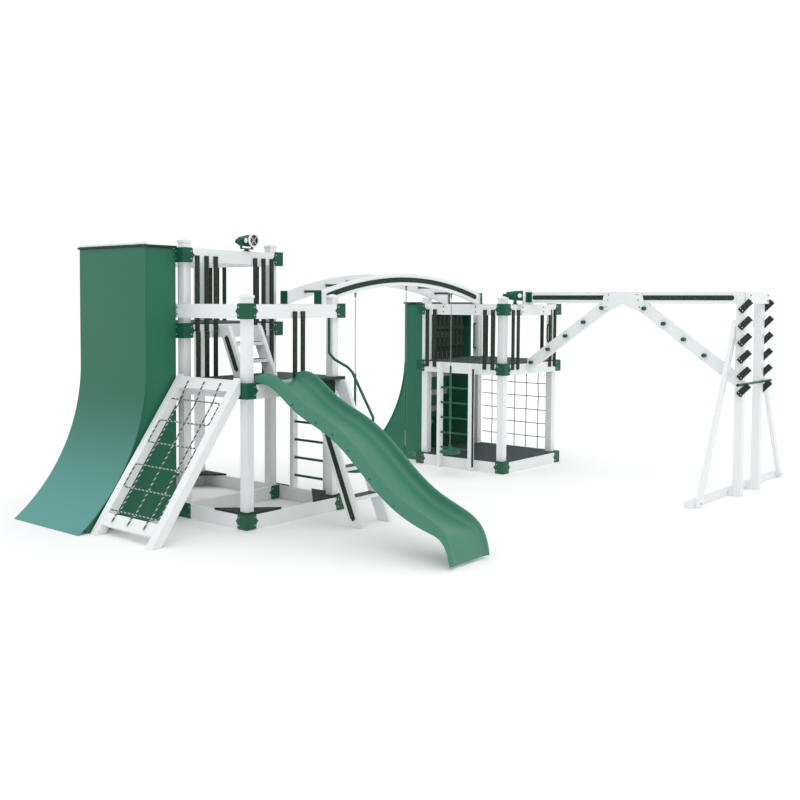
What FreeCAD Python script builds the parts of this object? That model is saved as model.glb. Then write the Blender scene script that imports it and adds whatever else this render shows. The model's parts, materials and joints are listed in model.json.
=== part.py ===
"""Play set of two deck towers joined by an arched monkey-bar bridge.

Lengths below are in inches and become millimetres through IN. The set is
laid out from the front left ground corner of tower A: +X runs along the
arch from tower A to tower B, -Y is the slide side and +Z is up. Every
piece is then moved by SHIFT, which puts the origin on the ground under the
middle of the whole set.
"""
import FreeCAD
import Part
import math
import os

IN = 25.4
V = FreeCAD.Vector

# Stock sizes of the vinyl posts and boards
POST = 4.0
BOARD_H = 6.0
BOARD_T = 2.0
BALUSTER_W = 2.0
BALUSTER_T = 1.0
INSERT_W = 2.4
INSERT_T = 0.25

# Deck and rail heights
LOW_DECK = 60.0
HIGH_DECK = 84.0
RAIL_RISE = 33.0
MAT_T = 0.6
POST_RISE = 35.5
CAP_H = 2.0

# Tower A: a low bay in front and a high bay behind it. Tower B: one low bay
TOWER_W = 60.0
LOW_BAY = 40.0
A_DEPTH = LOW_BAY + TOWER_W
ARCH_SPAN = 126.0
BX0 = TOWER_W + ARCH_SPAN
BX1 = BX0 + TOWER_W
BY0 = -4.0
BY1 = BY0 + TOWER_W

# Arched monkey bars
ARCH_Y = (14.5, 36.5)
ARCH_RISE = 9.3
ARCH_Z = LOW_DECK + RAIL_RISE + BOARD_H / 2
RUNG_COUNT = 8
RUNG_PITCH = 14.9
RUNG_R = 0.66
SWING_PITCH = 39.0
DISC_R = 5.6
DISC_DROP = 84.3

# Slide and step ladder on the front of tower A
SLIDE_X = 17.5
SLIDE_W = 23.5
LADDER_X = (34.5, 54.5)
LADDER_RUN = 26.0
TREAD_RISE = 12.0

# Rope climber on the left of tower A
CLIMB_Y = (3.0, 43.0)
CLIMB_RUN = 45.9
CLIMB_TOP = 63.5
CLIMB_GAP = 0.5
ROPE_R = 0.34
ROPE_SPREAD = 10.3

# Warped walls
WALL_W = 48.0
WALL_RUN = 17.0
WALL_REACH = 51.0
WALL_T = 0.5
WALL_BEND = 66.0
WALL_A_TOP = HIGH_DECK + RAIL_RISE
WALL_B_TOP = LOW_DECK + RAIL_RISE
WALL_B_RUN = 15.8
WALL_B_REACH = 49.5
WALL_B_BEND = 62.0

# Peg beam and salmon ladder frame
BEAM_X = 211.5
BEAM_Z0 = 93.9
SALMON_Y = -122.9
SALMON_XS = (BEAM_X, BEAM_X + 24.3)
SALMON_TOP = 100.0
HOOK_PITCH = 8.12
HOOK_COUNT = 6
HOOK_L = 7.0
HOOK_W = 2.8
HOOK_T = 1.5
HOOK_FOOT = 0.3
DIAG = math.sqrt(0.5)
FRAME_MID = 226.0
FRAME_HALF = 59.5

FRONT_Y = SALMON_Y - HOOK_FOOT - (HOOK_L + HOOK_W / 2) * DIAG
BACK_Y = BY1 + WALL_B_REACH
SHIFT = V(-(FRAME_MID + FRAME_HALF - WALL_REACH) / 2 * IN, -(FRONT_Y + BACK_Y) / 2 * IN, 0)

os.makedirs("parts", exist_ok=True)


def save(name, solids):
    """Move the solids into the set's frame and write them as one node."""
    shape = solids[0] if len(solids) == 1 else Part.makeCompound(solids)
    shape = shape.copy()
    shape.translate(SHIFT)
    shape.exportStep("parts/%s.step" % name)


def box(x0, x1, y0, y1, z0, z1):
    return Part.makeBox((x1 - x0) * IN, (y1 - y0) * IN, (z1 - z0) * IN,
                        V(x0 * IN, y0 * IN, z0 * IN))


def rod(start, axis, radius, length):
    return Part.makeCylinder(radius * IN, length * IN, V(*start) * IN, V(*axis))


def tube(start, end, radius):
    a, b = V(*start), V(*end)
    return Part.makeCylinder(radius * IN, (b - a).Length * IN, a * IN, b - a)


def ball(centre, radius):
    return Part.makeSphere(radius * IN, V(*centre) * IN)


def cable(points, radius):
    """A rope or bent bar through the points, rounded at every corner."""
    body = tube(points[0], points[1], radius)
    for here, after in zip(points[1:-1], points[2:]):
        body = body.fuse([ball(here, radius), tube(here, after, radius)])
    return body


def prism(outline, normal, depth):
    """Extrude a closed outline of 3-D points along a normal."""
    face = Part.Face(Part.makePolygon([V(*p) * IN for p in outline + outline[:1]]))
    return face.extrude(V(*normal) * (depth * IN))


def side_plate(outline, x0, x1):
    """A plate cut to an outline of (y, z) points, from x0 to x1."""
    return prism([(x0, y, z) for y, z in outline], (1, 0, 0), x1 - x0)


def front_plate(outline, y0, y1):
    """A plate cut to an outline of (x, z) points, from y0 to y1."""
    return prism([(x, y0, z) for x, z in outline], (0, 1, 0), y1 - y0)


def turned(shape, centre, axis, degrees):
    copy = shape.copy()
    copy.rotate(V(*centre) * IN, V(*axis), degrees)
    return copy


def moved(shape, x, y, z):
    copy = shape.copy()
    copy.translate(V(x, y, z) * IN)
    return copy


# ---------------------------------------------------------------- towers
# Outer corner of each post, with the way into the tower, and its top
A_LOW = [(0, 0, 1, 1), (TOWER_W, 0, -1, 1)]
A_HIGH = [(0, LOW_BAY, 1, 1), (TOWER_W, LOW_BAY, -1, 1),
          (0, A_DEPTH, 1, -1), (TOWER_W, A_DEPTH, -1, -1)]
B_ALL = [(BX0, BY0, 1, 1), (BX1, BY0, -1, 1), (BX0, BY1, 1, -1), (BX1, BY1, -1, -1)]

posts, caps = [], []
for corners, deck in ((A_LOW, LOW_DECK), (A_HIGH, HIGH_DECK), (B_ALL, LOW_DECK)):
    top = deck + POST_RISE
    for cx, cy, sx, sy in corners:
        px = cx + sx * (BOARD_T + POST / 2)
        py = cy + sy * (BOARD_T + POST / 2)
        posts.append(box(px - POST / 2, px + POST / 2, py - POST / 2, py + POST / 2, 0, top))
        half = POST / 2 + 0.3
        skirt = box(px - half, px + half, py - half, py + half, top, top + CAP_H * 0.55)
        peak = Part.makeWedge(0, 0, 0, 1.9 * IN, 1.9 * IN, 2 * half * IN,
                              CAP_H * 0.45 * IN, 2 * half * IN,
                              (2 * half - 1.9) * IN, (2 * half - 1.9) * IN)
        peak.rotate(V(0, 0, 0), V(1, 0, 0), 90)
        peak.translate(V(px - half, py + half, top + CAP_H * 0.55) * IN)
        caps.append(skirt.fuse(peak).removeSplitter())
save("posts", posts)
save("post_caps", caps)


def frame_boards(x0, x1, y0, y1, z0, height=BOARD_H):
    """Four boards laid round the outside of a bay, front and back full width."""
    t = BOARD_T
    return [box(x0, x1, y0, y0 + t, z0, z0 + height),
            box(x0, x1, y1 - t, y1, z0, z0 + height),
            box(x0, x0 + t, y0 + t, y1 - t, z0, z0 + height),
            box(x1 - t, x1, y0 + t, y1 - t, z0, z0 + height)]


def low_bay_boards(z0, back):
    """Front and side boards of tower A's low bay, butted against the high bay."""
    t = BOARD_T
    return [box(0, TOWER_W, 0, t, z0, z0 + BOARD_H),
            box(0, t, t, back, z0, z0 + BOARD_H),
            box(TOWER_W - t, TOWER_W, t, back, z0, z0 + BOARD_H)]


save("base_boards", low_bay_boards(0, LOW_BAY)
     + frame_boards(0, TOWER_W, LOW_BAY, A_DEPTH, 0)
     + frame_boards(BX0, BX1, BY0, BY1, 0))

HIP = BOARD_T + POST
deck_boards = low_bay_boards(LOW_DECK - BOARD_H, LOW_BAY + HIP)
deck_boards.append(box(BOARD_T, TOWER_W - BOARD_T, LOW_BAY, LOW_BAY + BOARD_T,
                       LOW_DECK - BOARD_H, LOW_DECK))
deck_boards += frame_boards(0, TOWER_W, LOW_BAY, A_DEPTH, HIGH_DECK - BOARD_H)
deck_boards += frame_boards(BX0, BX1, BY0, BY1, LOW_DECK - BOARD_H)
save("deck_boards", deck_boards)

JOIST_GAP = 13.0
joists = []
for x0, x1, y0, y1, deck in ((0, TOWER_W, BOARD_T, LOW_BAY, LOW_DECK),
                             (0, TOWER_W, LOW_BAY + BOARD_T, A_DEPTH - BOARD_T, HIGH_DECK),
                             (BX0, BX1, BY0 + BOARD_T, BY1 - BOARD_T, LOW_DECK)):
    for i in range(-1, 2):
        mid = (x0 + x1) / 2 + i * JOIST_GAP
        joists.append(box(mid - 0.75, mid + 0.75, y0, y1, deck - 5.5, deck - 1.0))
# Deck planks run across the joists and rubber mats lie on top. Tower B also
# has a floor at ground level, inside its base boards
planks, mats = [], []
for x0, x1, y0, y1, deck in ((0, TOWER_W, 0, LOW_BAY + BOARD_T, LOW_DECK),
                             (0, TOWER_W, LOW_BAY, A_DEPTH, HIGH_DECK),
                             (BX0, BX1, BY0, BY1, LOW_DECK)):
    plank = box(x0 + HIP + 0.1, x1 - HIP - 0.1, y0 + BOARD_T, y1 - BOARD_T, deck - 1.0, deck)
    planks.append(plank)
    mat = box(x0 + 0.2, x1 - 0.2, y0 + 0.2, y1 - 0.2, deck, deck + MAT_T)
    for cx, cy, sx, sy in A_LOW + A_HIGH + B_ALL:
        px = cx + sx * (BOARD_T + POST / 2)
        py = cy + sy * (BOARD_T + POST / 2)
        half = POST / 2 + 0.05
        mat = mat.cut(box(px - half, px + half, py - half, py + half, deck - 1, deck + 2))
    mats.append(mat)
floor_z = BOARD_H
floor_mat = box(BX0 + 0.2, BX1 - 0.2, BY0 + 0.2, BY1 - 0.2, floor_z, floor_z + MAT_T)
for cx, cy, sx, sy in B_ALL:
    px = cx + sx * (BOARD_T + POST / 2)
    py = cy + sy * (BOARD_T + POST / 2)
    half = POST / 2 + 0.05
    floor_mat = floor_mat.cut(box(px - half, px + half, py - half, py + half, 0, 12))
mats.append(floor_mat)
planks.append(box(BX0 + HIP + 0.1, BX1 - HIP - 0.1, BY0 + BOARD_T, BY1 - BOARD_T,
                  floor_z - 1.0, floor_z))
save("deck_planks", planks + joists)
save("deck_mats", mats)

low_rail = LOW_DECK + RAIL_RISE - BOARD_H
high_rail = HIGH_DECK + RAIL_RISE - BOARD_H
save("railing_boards", low_bay_boards(low_rail, LOW_BAY + HIP)
     + frame_boards(0, TOWER_W, LOW_BAY, A_DEPTH, high_rail)
     + frame_boards(BX0, BX1, BY0, BY1, low_rail))

# Balusters hang on the outer faces, from the rail down over the deck board
BAL_FIRST = 7.55
BAL_PITCH = 5.25
BAL_DROP = 3.0
balusters = []


def baluster_row(face, edge, out, offsets, deck, z1=None):
    """Balusters on a board face. The face is 'x' or 'y', out is +1 or -1."""
    z0 = deck - BAL_DROP
    z1 = z1 if z1 is not None else deck + RAIL_RISE - BAL_DROP
    near, far = sorted((edge, edge + out * BALUSTER_T))
    for mid in offsets:
        a, b = mid - BALUSTER_W / 2, mid + BALUSTER_W / 2
        balusters.append(box(a, b, near, far, z0, z1) if face == "y"
                         else box(near, far, a, b, z0, z1))


def pairs(start, end, count):
    """Baluster offsets from both ends of a bay, leaving the middle open."""
    steps = [BAL_FIRST + i * BAL_PITCH for i in range(count)]
    return [start + s for s in steps] + [end - s for s in steps]


baluster_row("y", LOW_BAY, -1, pairs(0, TOWER_W, 3), HIGH_DECK)
baluster_row("x", TOWER_W, 1, pairs(LOW_BAY, A_DEPTH, 3), HIGH_DECK)
baluster_row("y", A_DEPTH, 1, pairs(0, TOWER_W, 3), HIGH_DECK)
baluster_row("y", 0, -1, (27.6, 32.4), LOW_DECK)
baluster_row("x", TOWER_W, 1, (BAL_FIRST,), LOW_DECK)
baluster_row("x", BX0, -1, pairs(BY0, BY1, 2), LOW_DECK)
baluster_row("y", BY0, -1, pairs(BX0, BX1, 2), LOW_DECK)
baluster_row("x", BX1, 1, pairs(BY0, BY1, 2), LOW_DECK)
# Short ones close the step between tower A's two decks beside the inner ladder
for mid in (8.0, 13.0, 18.0, 47.5, 52.5):
    balusters.append(box(mid - 1, mid + 1, LOW_BAY - 1, LOW_BAY,
                         LOW_DECK + MAT_T + 0.1, HIGH_DECK - BAL_DROP - 0.1))
save("balusters", balusters)

# ------------------------------------------------------ brackets and seats
BRACKET_T = 0.25
BRACKET_H = 6.5
BRACKET_EDGE = [(0, 0), (4.85, 0), (5.2, 0.25), (5.38, 0.8), (5.28, 1.4), (5.4, 2.05),
                (5.85, 2.7), (6.5, 3.25), (5.85, 3.8), (5.4, 4.45), (5.28, 5.1),
                (5.38, 5.7), (5.2, 6.25), (4.85, BRACKET_H), (0, BRACKET_H)]


def corner_bracket(sx, sy):
    """Scalloped L plate round a corner at the origin, tower towards +sx, +sy."""
    wide = [(sx * (u if u else -BRACKET_T), z) for u, z in BRACKET_EDGE]
    deep = [(sy * u, z) for u, z in BRACKET_EDGE]
    y0, y1 = sorted((0, -sy * BRACKET_T))
    x0, x1 = sorted((0, -sx * BRACKET_T))
    return front_plate(wide, y0, y1).fuse(side_plate(deep, x0, x1)).removeSplitter()


brackets, screws = [], []
SCREW_U = 4.4
SCREW_Z = (1.6, 4.9)
SCREW_R = 0.28
SCREW_H = 0.14


def screw(x, y, z, axis):
    dome = rod((x, y, z), axis, SCREW_R, SCREW_H)
    screws.append(dome.makeFillet(0.1 * IN, [dome.Edges[0]]))


def place_bracket(cx, cy, sx, sy, z0):
    brackets.append(moved(corner_bracket(sx, sy), cx, cy, z0))
    for z in SCREW_Z:
        screw(cx + sx * SCREW_U, cy - sy * BRACKET_T, z0 + z, (0, -sy, 0))
        screw(cx - sx * BRACKET_T, cy + sy * SCREW_U, z0 + z, (-sx, 0, 0))


for corner in A_LOW:
    for level in (0.1, LOW_DECK - BOARD_H + 0.1, low_rail - 0.1):
        place_bracket(*corner, level)
for corner in A_HIGH:
    for level in (0.1, HIGH_DECK - BOARD_H + 0.1, high_rail - 0.1):
        if corner[1] == LOW_BAY and level == 0.1:
            continue
        place_bracket(*corner, level)
for corner in B_ALL:
    for level in (0.1, LOW_DECK - BOARD_H + 0.1, low_rail - 0.1):
        place_bracket(*corner, level)
# Straight plates splice the two bays' base boards where no corner is free
SPLICE_U = 4.5
for side, out in ((0, -1), (TOWER_W, 1)):
    plate = [(LOW_BAY + u, z + 0.1) for u, z in BRACKET_EDGE[1:-1]]
    plate += [(LOW_BAY - SPLICE_U, BRACKET_H + 0.1), (LOW_BAY - SPLICE_U, 0.1)]
    x0, x1 = sorted((side, side + out * BRACKET_T))
    brackets.append(side_plate(plate, x0, x1))
    for u in (0.8 - SPLICE_U, SCREW_U):
        for z in SCREW_Z:
            screw(x1 if out > 0 else x0, LOW_BAY + u, z + 0.1, (out, 0, 0))
inner = [(TOWER_W - BOARD_T - 0.1 - u, z + 0.1) for u, z in BRACKET_EDGE]
brackets.append(front_plate(inner, LOW_BAY - BRACKET_T, LOW_BAY))
for z in SCREW_Z:
    screw(TOWER_W - BOARD_T - SCREW_U, LOW_BAY - BRACKET_T, z + 0.1, (0, -1, 0))
save("corner_brackets", brackets)

# Triangular seats fill the inner corners at the top of the base boards
SEAT_LEG = 18.0
seats = []
for cx, cy, sx, sy in (A_LOW[0], A_LOW[1], A_HIGH[2], A_HIGH[3]):
    ox, oy = cx + sx * 0.3, cy + sy * 0.3
    leg = SEAT_LEG + BOARD_T
    tri = prism([(ox, oy, BOARD_H + 0.02), (ox + sx * leg, oy, BOARD_H + 0.02),
                 (ox, oy + sy * leg, BOARD_H + 0.02)], (0, 0, 1), 0.9)
    px = cx + sx * (BOARD_T + POST / 2)
    py = cy + sy * (BOARD_T + POST / 2)
    half = POST / 2 + 0.05
    seats.append(tri.cut(box(px - half, px + half, py - half, py + half, 0, 12)))
save("corner_seats", seats)

# ------------------------------------------------------------- step ladders


def lean_board(x0, x1, top, foot, depth, cut_top, cut_foot):
    """A board leaning from (y, z) top to foot, depth measured along y."""
    (ty, tz), (fy, fz) = top, foot
    slope = (fy - ty) / (fz - tz)
    top_y, low_y = ty + (cut_top - tz) * slope, fy + (cut_foot - fz) * slope
    return side_plate([(top_y, cut_top), (top_y - depth, cut_top),
                       (low_y - depth, cut_foot), (low_y, cut_foot)], x0, x1)


stringers, treads, grips, ladder_inserts = [], [], [], []
GRIP_T = 0.18
BRACKET_GAP = BRACKET_T + 0.05


def step_ladder(x0, x1, top_y, top_z, foot_z, run, rise, count):
    """Stringers, treads, grip strips and insert strips of one step ladder."""
    depth = 6.6
    slope = run / (top_z - foot_z)
    for side in (x0, x1 - BOARD_T):
        board = lean_board(side, side + BOARD_T, (top_y, top_z), (top_y - run, foot_z),
                           depth, top_z - 0.3, foot_z)
        stringers.append(board.common(box(x0 - 1, x1 + 1, top_y - run - 20, top_y - BRACKET_GAP,
                                          foot_z, top_z)))
    for out_x, t in ((x0 - INSERT_T, INSERT_T), (x1, INSERT_T)):
        mid = depth / 2
        half = INSERT_W / 2 * 1.1
        z1, z0 = top_z - 5.5, foot_z + 3.5
        y1, y0 = top_y - slope * (top_z - z1) - mid, top_y - slope * (top_z - z0) - mid
        ladder_inserts.append(side_plate([(y1 + half, z1), (y1, z1 + 1.1), (y1 - half, z1),
                                          (y0 - half, z0), (y0, z0 - 1.1), (y0 + half, z0)],
                                         out_x, out_x + t))
    for k in range(1, count + 1):
        z = foot_z + rise * k
        back = top_y - slope * (top_z - z) - 0.3
        treads.append(box(x0 + BOARD_T, x1 - BOARD_T, back - 6.0, back, z - 1.5, z))
        grips.append(box(x0 + BOARD_T + 0.6, x1 - BOARD_T - 0.6, back - 5.4, back - 0.6,
                         z, z + GRIP_T))


step_ladder(LADDER_X[0], LADDER_X[1], 0, LOW_DECK, 0, LADDER_RUN, TREAD_RISE, 4)
INNER_X = (19.7, 40.3)
step_ladder(INNER_X[0], INNER_X[1], LOW_BAY - 0.05, HIGH_DECK - 0.5, LOW_DECK + MAT_T + 0.05,
            10.5, 7.6, 2)
save("ladder_stringers", stringers)
save("ladder_treads", treads)
save("tread_grips", grips)

# The dark landing board and nosing where the step ladder meets the deck
save("landing_board", [box(LADDER_X[0] + BOARD_T, LADDER_X[1] - BOARD_T, -1.1, -BRACKET_GAP,
                           LOW_DECK - 6.5, LOW_DECK - 0.75),
                       box(LADDER_X[0] - 0.5, LADDER_X[1] + 0.5, -4.5, -BRACKET_GAP,
                           LOW_DECK - 0.25, LOW_DECK + 0.75)])

# Bent tube that hangs from the rail, passes out over the nosing and follows
# the right stringer down to meet its front edge
HANDRAIL_R = 0.62
handrail = cable([(50.6, 1.0, low_rail - 0.02), (50.6, 1.0, 71.5), (51.2, -1.8, 68.6),
                  (52.4, -8.6, 65.4), (53.0, -10.8, 63.2), (53.5, -22.5, 44.0),
                  (53.5, -22.3, 40.5), (53.5, -20.3, 37.8), (53.5, -16.0, 36.2)], HANDRAIL_R)
save("stair_handrail", [handrail.cut(stringers[1])])

# ------------------------------------------------------------ rung ladders
rung_stringers, rungs = [], []
RUNG_FIRST = 11.5
RUNG_STEP = 8.55
for x0, x1, y0, y1, strip_x in ((TOWER_W, TOWER_W + 3.5, 11.5, 35.0, None),
                                (BX0 - 3.5, BX0, 15.5, 39.0, BX0 - 2.9)):
    for side in (y0, y1 - BOARD_T):
        rung_stringers.append(box(x0 + 0.02, x1, side, side + BOARD_T, 0, LOW_DECK - 0.1)
                              if x0 == TOWER_W else
                              box(x0, x1 - 0.02, side, side + BOARD_T, 0, LOW_DECK - 0.1))
    for k in range(5):
        z = RUNG_FIRST + RUNG_STEP * k
        rungs.append(rod(((x0 + x1) / 2, y0 + BOARD_T + 0.01, z), (0, 1, 0), 0.6,
                         y1 - y0 - 2 * BOARD_T - 0.02))
    sx = (x0 + x1) / 2
    for side in (y0 - INSERT_T, y1):
        ladder_inserts.append(box(sx - 0.8, sx + 0.8, side, side + INSERT_T, 2.0,
                                  LOW_DECK - 3.0))
save("rung_ladder_stringers", rung_stringers)
save("rung_ladder_rungs", rungs)
save("ladder_inserts", ladder_inserts)

# ------------------------------------------------------------------- slide
# Bed line from the deck to the ground: distance out from the tower and height
SLIDE_BED = [(1.6, 61.0), (-4.0, 61.2), (-8.5, 60.2), (-12.5, 57.8), (-17.0, 54.4),
             (-23.0, 50.4), (-31.0, 46.9), (-38.0, 44.2), (-45.0, 40.4), (-52.0, 35.0),
             (-60.0, 28.0), (-68.0, 21.6), (-76.0, 17.0), (-84.0, 13.9), (-90.0, 12.3),
             (-93.8, 10.9), (-96.2, 8.2), (-97.6, 4.4), (-98.4, 1.1)]
SLIDE_H = 4.7
bed = Part.BSplineCurve()
bed.interpolate([V(SLIDE_X, y, z) for y, z in SLIDE_BED])


def slide_section(t):
    """Cross section of the slide at a share t of its length."""
    at = bed.FirstParameter + (bed.LastParameter - bed.FirstParameter) * t
    origin = bed.value(at)
    along = V(*bed.tangent(at)[0]).normalize()
    up = V(1, 0, 0).cross(along)
    if up.z < 0 and abs(up.z) > 0.05 or up.y > 0.7:
        up = up * -1
    out = -origin.y
    grow = min(1.0, max(0.0, (out + 1.6) / 8.0))
    fade = min(1.0, max(0.0, (98.4 - out) / 11.0))
    h = (2.2 + (SLIDE_H - 2.2) * grow) * (0.32 + 0.68 * fade)
    w = SLIDE_W / 2
    half = [(w - 3.5, 0), (w - 2.3, 0.14 * h), (w - 1.6, 0.45 * h), (w - 1.3, 0.85 * h),
            (w - 0.95, h), (w - 0.35, h), (w, 0.88 * h), (w, -0.5), (w - 0.3, -0.5),
            (w - 0.3, 0.68 * h), (w - 0.62, 0.8 * h), (w - 0.95, 0.72 * h),
            (w - 1.25, 0.36 * h), (w - 2.05, -0.1), (w - 3.3, -0.4)]
    ring = half + [(-u, v) for u, v in reversed(half)]
    pts = [(origin + V(u, 0, 0) + up * v) * IN for u, v in ring]
    return Part.makePolygon(pts + pts[:1])


stations = [i / 30.0 for i in range(31)]
slide = Part.makeLoft([slide_section(t) for t in stations], True, True)
slide = slide.cut(box(0, 40, -1.1, 6, 40, 60.65)).cut(box(0, 40, -120, 0, -20, 0))
for x0, x1 in ((0, SLIDE_X - 10.2), (SLIDE_X + 8.9, 40)):
    slide = slide.cut(box(x0, x1, -1.1, 6, 40, 80))
save("slide", [max(slide.Solids, key=lambda s: s.Volume)])

bolts = []


def bolt(point, axis, radius=0.32, length=0.3):
    bolts.append(rod(point, axis, radius, length))


for t in (0.2, 0.32, 0.4, 0.48, 0.6, 0.72):
    at = bed.FirstParameter + (bed.LastParameter - bed.FirstParameter) * t
    p = bed.value(at)
    for side, out in ((SLIDE_X - SLIDE_W / 2, -1), (SLIDE_X + SLIDE_W / 2, 1)):
        bolt((side, p.y - 0.3, p.z + 0.7), (out, 0, 0), 0.35, 0.18)

# ------------------------------------------------------------ rope climber
run_len = math.hypot(CLIMB_RUN, CLIMB_TOP)
lean = math.degrees(math.atan2(CLIMB_TOP, CLIMB_RUN))
ux, uz = CLIMB_RUN / run_len, CLIMB_TOP / run_len


def on_slope(s, depth):
    """Point on the climber's plane, s up from the foot, depth under its top face."""
    return (-CLIMB_RUN + s * ux + depth * uz, s * uz - depth * ux)


climb_frame = []
top_x = -CLIMB_GAP
for y0 in (CLIMB_Y[0], CLIMB_Y[1] - POST):
    rail = [on_slope(-8, 0), on_slope(run_len + 8, 0), on_slope(run_len + 8, POST),
            on_slope(-8, POST)]
    piece = front_plate(rail, y0, y0 + POST)
    climb_frame.append(piece.common(box(-80, top_x, y0 - 1, y0 + 5, 0, CLIMB_TOP - 0.4)))
for s0 in (5.0, run_len - 7.5):
    cross = [on_slope(s0, 0), on_slope(s0 + 5.5, 0), on_slope(s0 + 5.5, BOARD_T),
             on_slope(s0, BOARD_T)]
    piece = front_plate(cross, CLIMB_Y[0] + POST, CLIMB_Y[1] - POST)
    climb_frame.append(piece.common(box(-80, top_x, 0, 60, 0, CLIMB_TOP + 3)))
save("climber_frame", climb_frame)

# Three ropes run up the slope, and one rope zigzags over them: each row is
# a straight run, and short side runs join the rows at alternate ends
inner_y = (CLIMB_Y[0] + POST + 0.05, CLIMB_Y[1] - POST - 0.05)
ROPE_DEPTH = 1.2
ROW_FIRST = 12.0
ROW_PITCH = 10.6
ROW_COUNT = 6
rows = [ROW_FIRST + ROW_PITCH * k for k in range(ROW_COUNT)]
ropes = []


def slope_rope(s0, y0, s1, y1, depth):
    a, b = on_slope(s0, depth), on_slope(s1, depth)
    ropes.append(tube((a[0], y0, a[1]), (b[0], y1, b[1]), ROPE_R))


for k in (-1, 0, 1):
    y = sum(CLIMB_Y) / 2 + k * ROPE_SPREAD
    slope_rope(10.55, y, run_len - 7.55, y, ROPE_DEPTH)
lift = ROPE_DEPTH - 2 * ROPE_R - 0.02
for k, s in enumerate(rows):
    slope_rope(s, inner_y[0], s, inner_y[1], lift)
    if k:
        y = inner_y[1] - ROPE_R if k % 2 else inner_y[0] + ROPE_R
        slope_rope(rows[k - 1] + ROPE_R + 0.02, y, s - ROPE_R - 0.02, y, lift)
save("climber_net", ropes)

# ------------------------------------------------------------ warped walls
SEAM = 0.05
WALL_START = 0.45
STUD_H = 3.5
STUD_T = 1.48
STUD_Z = (8.0, 17.0, 27.0, 38.0, 49.5, 61.5, 74.0, 88.0, 102.0, 113.0)


def wall_curve(top, run, reach, bend):
    """Centre and radius of the running face, and its lip's lowest point."""
    drop = reach - run
    radius = (bend * bend + drop * drop) / (2 * drop)
    return run + radius, bend, radius


def wall_parts(top, run, reach, bend):
    """Pieces of one wall, lying along +X from the tower face, width along Y."""
    cx, cz, r = wall_curve(top, run, reach, bend)
    steps = 18
    ends = math.atan2(cz, cx - reach)
    arc = [(cx - r * math.cos(a * ends / steps), cz - r * math.sin(a * ends / steps))
           for a in range(steps + 1)]
    outer = [(run, top)] + arc
    skin = [(cx - (r + WALL_T) * math.cos(a * ends / steps),
             max(0.0, cz - (r + WALL_T) * math.sin(a * ends / steps)))
            for a in range(steps + 1)]
    last = (skin[-1][0] - 1.2, 0.0)
    inner_line = [(run - WALL_T, top)] + skin[:-1] + [last]
    sheet = front_plate(outer + inner_line[::-1], 0, WALL_W)
    gap = WALL_T + SEAM
    frame_arc = [(cx - (r + gap) * math.cos(a * ends / steps),
                  cz - (r + gap) * math.sin(a * ends / steps)) for a in range(steps + 1)]
    frame_arc = [p for p in frame_arc if p[1] > 0.3]
    edge = [(WALL_START, top - 0.1), (run - gap, top - 0.1)] + frame_arc
    edge += [(frame_arc[-1][0] - 0.8, 0.0), (WALL_START, 0.0)]
    side = [front_plate(edge, y, y + 0.75) for y in (0.6, WALL_W - 1.35)]
    studs = []
    for z in STUD_Z:
        if z > top - STUD_H:
            continue
        a = math.asin(max(0.0, (cz - z) / (r + gap)))
        depth = gap + STUD_T / 2
        px = cx - (r + depth) * math.cos(a)
        pz = z if a == 0.0 else cz - (r + depth) * math.sin(a)
        stud = box(px - STUD_T / 2, px + STUD_T / 2, 1.4, WALL_W - 1.4,
                   pz - STUD_H / 2, pz + STUD_H / 2)
        studs.append(turned(stud, (px, 0, pz), (0, 1, 0), -math.degrees(a)))
    cap = box(WALL_START, run + 0.8, -0.4, WALL_W + 0.4, top + 0.02, top + 1.0)
    return sheet, side, studs, cap


def stand_wall(pieces, place):
    sheet, side, studs, cap = pieces
    return place(sheet), [place(s) for s in side], [place(s) for s in studs], place(cap)


def place_a(shape):
    copy = shape.mirror(V(0, 0, 0), V(1, 0, 0))
    return moved(copy, 0, 43.8, 0)


def place_b(shape):
    copy = turned(shape, (0, 0, 0), (0, 0, 1), 90)
    return moved(copy, BX0 + 8.0 + WALL_W, BY1, 0)


wall_a = stand_wall(wall_parts(WALL_A_TOP, WALL_RUN, WALL_REACH, WALL_BEND), place_a)
wall_b = stand_wall(wall_parts(WALL_B_TOP, WALL_B_RUN, WALL_B_REACH, WALL_B_BEND), place_b)
save("wall_sheets", [wall_a[0], wall_b[0]])
save("wall_sides", wall_a[1] + wall_b[1])
save("wall_studs", wall_a[2] + wall_b[2])
save("wall_platforms", [wall_a[3], wall_b[3]])

# Slatted screen between tower B's deck and its wall
slats = []
for k in range(9):
    x = BX0 + 8.0 + 4.3 * k
    slats.append(box(x, x + 3.4, BY1 + 0.02, BY1 + 0.3, LOW_DECK + 1.2, low_rail + 2.0))
for z in (LOW_DECK + 8.5, low_rail - 8.0):
    slats.append(box(BX0 + 8.0, BX0 + 45.8, BY1 - 0.85, BY1 - 0.02, z - 1.1, z + 1.1))
slats.append(box(BX0 + 8.0, BX0 + 45.8, BY1 - BOARD_T - 0.3, BY1 - BOARD_T - 0.02,
                 low_rail + 0.5, low_rail + 3.5))
save("slat_screen", slats)

# Square rope net on tower B's far side, under the deck
net = []
nx = BX1 - 1.0
for k in range(5):
    y = BY0 + HIP + 0.05 + 8.2 * (k + 1) - 0.2
    net.append(rod((nx + 0.28, y, BOARD_H + MAT_T + 0.1), (0, 0, 1), 0.26,
                   LOW_DECK - 2 * BOARD_H - MAT_T - 0.2))
for k in range(5):
    z = BOARD_H + 8.0 * (k + 1)
    net.append(rod((nx - 0.26, BY0 + HIP + 0.05, z), (0, 1, 0), 0.26, TOWER_W - 2 * HIP - 0.1))
save("tower_net", net)

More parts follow.
